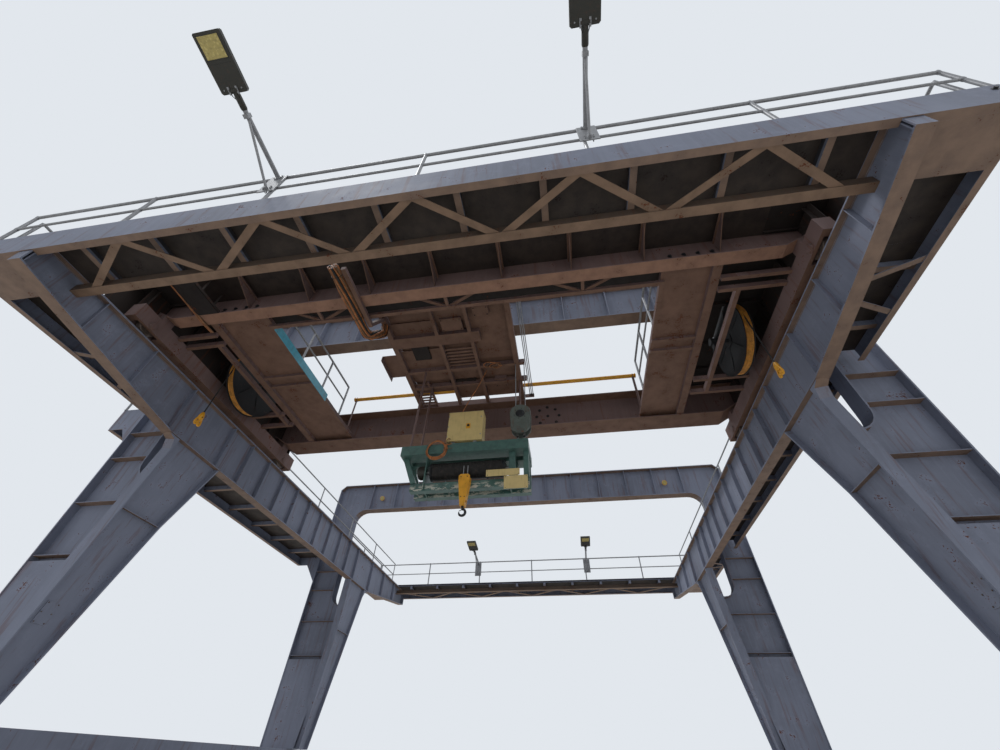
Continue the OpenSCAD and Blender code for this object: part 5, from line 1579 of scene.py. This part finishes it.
class CRANE_OT_details(Maker, bpy.types.Operator):
    """Hatch covers on the legs and round floodlights."""

    bl_idname = "crane.details"
    bl_label = "Hatches and floodlights"

    def execute(self, context):
        self.prepare(context)
        self.hatches()
        self.floodlights()
        return {"FINISHED"}

    def hatches(self):
        """Bolted covers low on the inner faces of the legs."""
        shape = Shape()
        lean, z = 0.15, 2.95
        for side in SIDES:
            face = -side * 0.006
            a, b = sorted((0, face))
            x = side * (5.1033 + lean * (5.555 - z) - 0.0185)
            for y, inward in ((PORTALS[0], 1), (PORTALS[1], -1)):
                shape.place = (Matrix.Translation(at(x, y - inward * 0.19, z))
                               @ Matrix.Rotation(-math.atan(lean) * side, 4, "Y"))
                shape.block((a, -0.09, -0.13), (b, 0.09, 0.13), 0)
                for dy in (-0.07, 0.07):
                    for dz in (-0.11, 0.0, 0.11):
                        shape.bolt((face, dy, dz), -X * side, 0.009, 0.007, 1, 0.008)
        shape.place = Matrix.Identity(4)
        shape.finish("leg_hatches", "frame", ["frame", "rail"], "frame_paint", (), 0.001)

    def floodlights(self):
        """Round floodlights near the ends of the far arch's web."""
        shape = Shape()
        aim = -Y - Z * 0.3
        for x in (-4.9, 4.75):
            c = at(x, PORTALS[1] - 0.009, 8.42)
            shape.block(c + Vector((-0.03, -0.02, -0.05)), c + Vector((0.03, 0.001, 0.05)), 0)
            c -= Y * 0.02
            shape.turned([(0, 0.03), (0.03, 0.05), (0.07, 0.075), (0.085, 0.08), (0.09, 0.08)], c, aim, 28, 0)
            shape.turned([(0.088, 0.07), (0.093, 0.066)], c, aim, 28, 1)
        shape.finish("floodlights", "frame", ["yellow", "lamp_glass"], "safety_yellow")


class CRANE_OT_stage(Maker, bpy.types.Operator):
    """Pale floor, soft studio light, pale backdrop and the camera."""

    bl_idname = "crane.stage"
    bl_label = "Stage and camera"

    def execute(self, context):
        scene = context.scene
        scene.view_settings.view_transform = "Standard"
        self.floor()
        self.world(scene)
        self.lamps(scene)
        self.camera(scene)
        return {"FINISHED"}

    def floor(self):
        """A wide level floor under the tyres."""
        shape = Shape()
        shape.block((-90, -90, -0.02), (90, 90, -0.0005))
        floor = shape.loose("floor", [floor_paint("floor_paint")])
        bpy.context.scene.collection.objects.link(floor)

    def world(self, scene):
        """Even light from all round, and a pale backdrop to the camera, glass and metal."""
        world = bpy.data.worlds.new("studio")
        world.use_nodes = True
        scene.world = world
        nodes = Nodes(world.node_tree)
        seen, shine, through = (nodes.add("ShaderNodeLightPath", output=f"Is {kind} Ray")
                                for kind in ("Camera", "Glossy", "Transmission"))
        light = nodes.add("ShaderNodeBackground", None, {"Color": tone(236, 239, 243), "Strength": 0.58})
        back = nodes.add("ShaderNodeBackground", None, {"Color": tone(226, 231, 237), "Strength": 1.0})
        mix = nodes.add("ShaderNodeMixShader", None, {0: seen.larger(shine.larger(through)), 1: light, 2: back})
        nodes.join(nodes.tree.nodes["World Output"].inputs[0], mix)

    def lamps(self, scene):
        """A broad soft key from above the front left, and a weak fill."""
        for name, direction, strength, angle in (
            ("key", (0.42, 0.12, -1.0), 1.5, 14.0),
            ("fill", (-0.8, 0.25, -0.5), 0.3, 40.0),
        ):
            data = bpy.data.lights.new(name, "SUN")
            data.energy, data.angle = strength, math.radians(angle)
            lamp = bpy.data.objects.new(name, data)
            lamp.rotation_mode = "QUATERNION"
            lamp.rotation_quaternion = Vector(direction).to_track_quat("-Z", "Y")
            lamp.location = (0, 0, 20)
            scene.collection.objects.link(lamp)

    def camera(self, scene):
        """The photograph's own view, fitted to the straight edges of the crane."""
        data = bpy.data.cameras.new("camera")
        data.lens, data.sensor_width, data.sensor_fit = 14.598, 36.0, "HORIZONTAL"  # 405.5 px of 1000
        data.clip_start, data.clip_end = 0.05, 400.0
        right = Vector((0.98840, 0.15049, 0.02073))
        down = Vector((-0.09012, 0.69072, -0.71749))
        ahead = Vector((-0.12229, 0.70729, 0.69626))
        turn = Matrix((right, -down, -ahead)).transposed()
        camera = bpy.data.objects.new("camera", data)
        camera.matrix_world = Matrix.Translation(at(1.3855, -9.093, 1.600)) @ turn.to_4x4()
        scene.collection.objects.link(camera)
        scene.camera = camera


OPERATORS = (
    CRANE_OT_stage, CRANE_OT_paint, CRANE_OT_pendants, CRANE_OT_bolts, CRANE_OT_welds, CRANE_OT_tyres,
    CRANE_OT_lamps, CRANE_OT_handrails, CRANE_OT_decks, CRANE_OT_reels, CRANE_OT_hoist, CRANE_OT_hook, CRANE_OT_cabinet,
    CRANE_OT_sheave, CRANE_OT_cables, CRANE_OT_wheels, CRANE_OT_ropes, CRANE_OT_details,
)


class CRANE_PT_sidebar(bpy.types.Panel):
    """Lists the settings and the pieces."""

    bl_label = "Gantry crane"
    bl_idname = "CRANE_PT_sidebar"
    bl_space_type = "VIEW_3D"
    bl_region_type = "UI"
    bl_category = "Crane"

    def draw(self, context):
        layout = self.layout
        for group in (context.scene.crane_paint, context.scene.crane_sizes):
            box = layout.box()
            for key in group.__annotations__:
                box.prop(group, key)
        for operator in OPERATORS:
            layout.operator(operator.bl_idname)


CLASSES = (CRANE_PG_paint, CRANE_PG_sizes, *OPERATORS, CRANE_PT_sidebar)


def register():
    for cls in CLASSES:
        bpy.utils.register_class(cls)
    bpy.types.Scene.crane_paint = bpy.props.PointerProperty(type=CRANE_PG_paint)
    bpy.types.Scene.crane_sizes = bpy.props.PointerProperty(type=CRANE_PG_sizes)


def unregister():
    del bpy.types.Scene.crane_paint
    del bpy.types.Scene.crane_sizes
    for cls in reversed(CLASSES):
        bpy.utils.unregister_class(cls)


def main():
    """Builds every piece in order."""
    register()
    for operator in OPERATORS:
        group, name = operator.bl_idname.split(".")
        getattr(getattr(bpy.ops, group), name)()


if __name__ == "__main__":
    main()
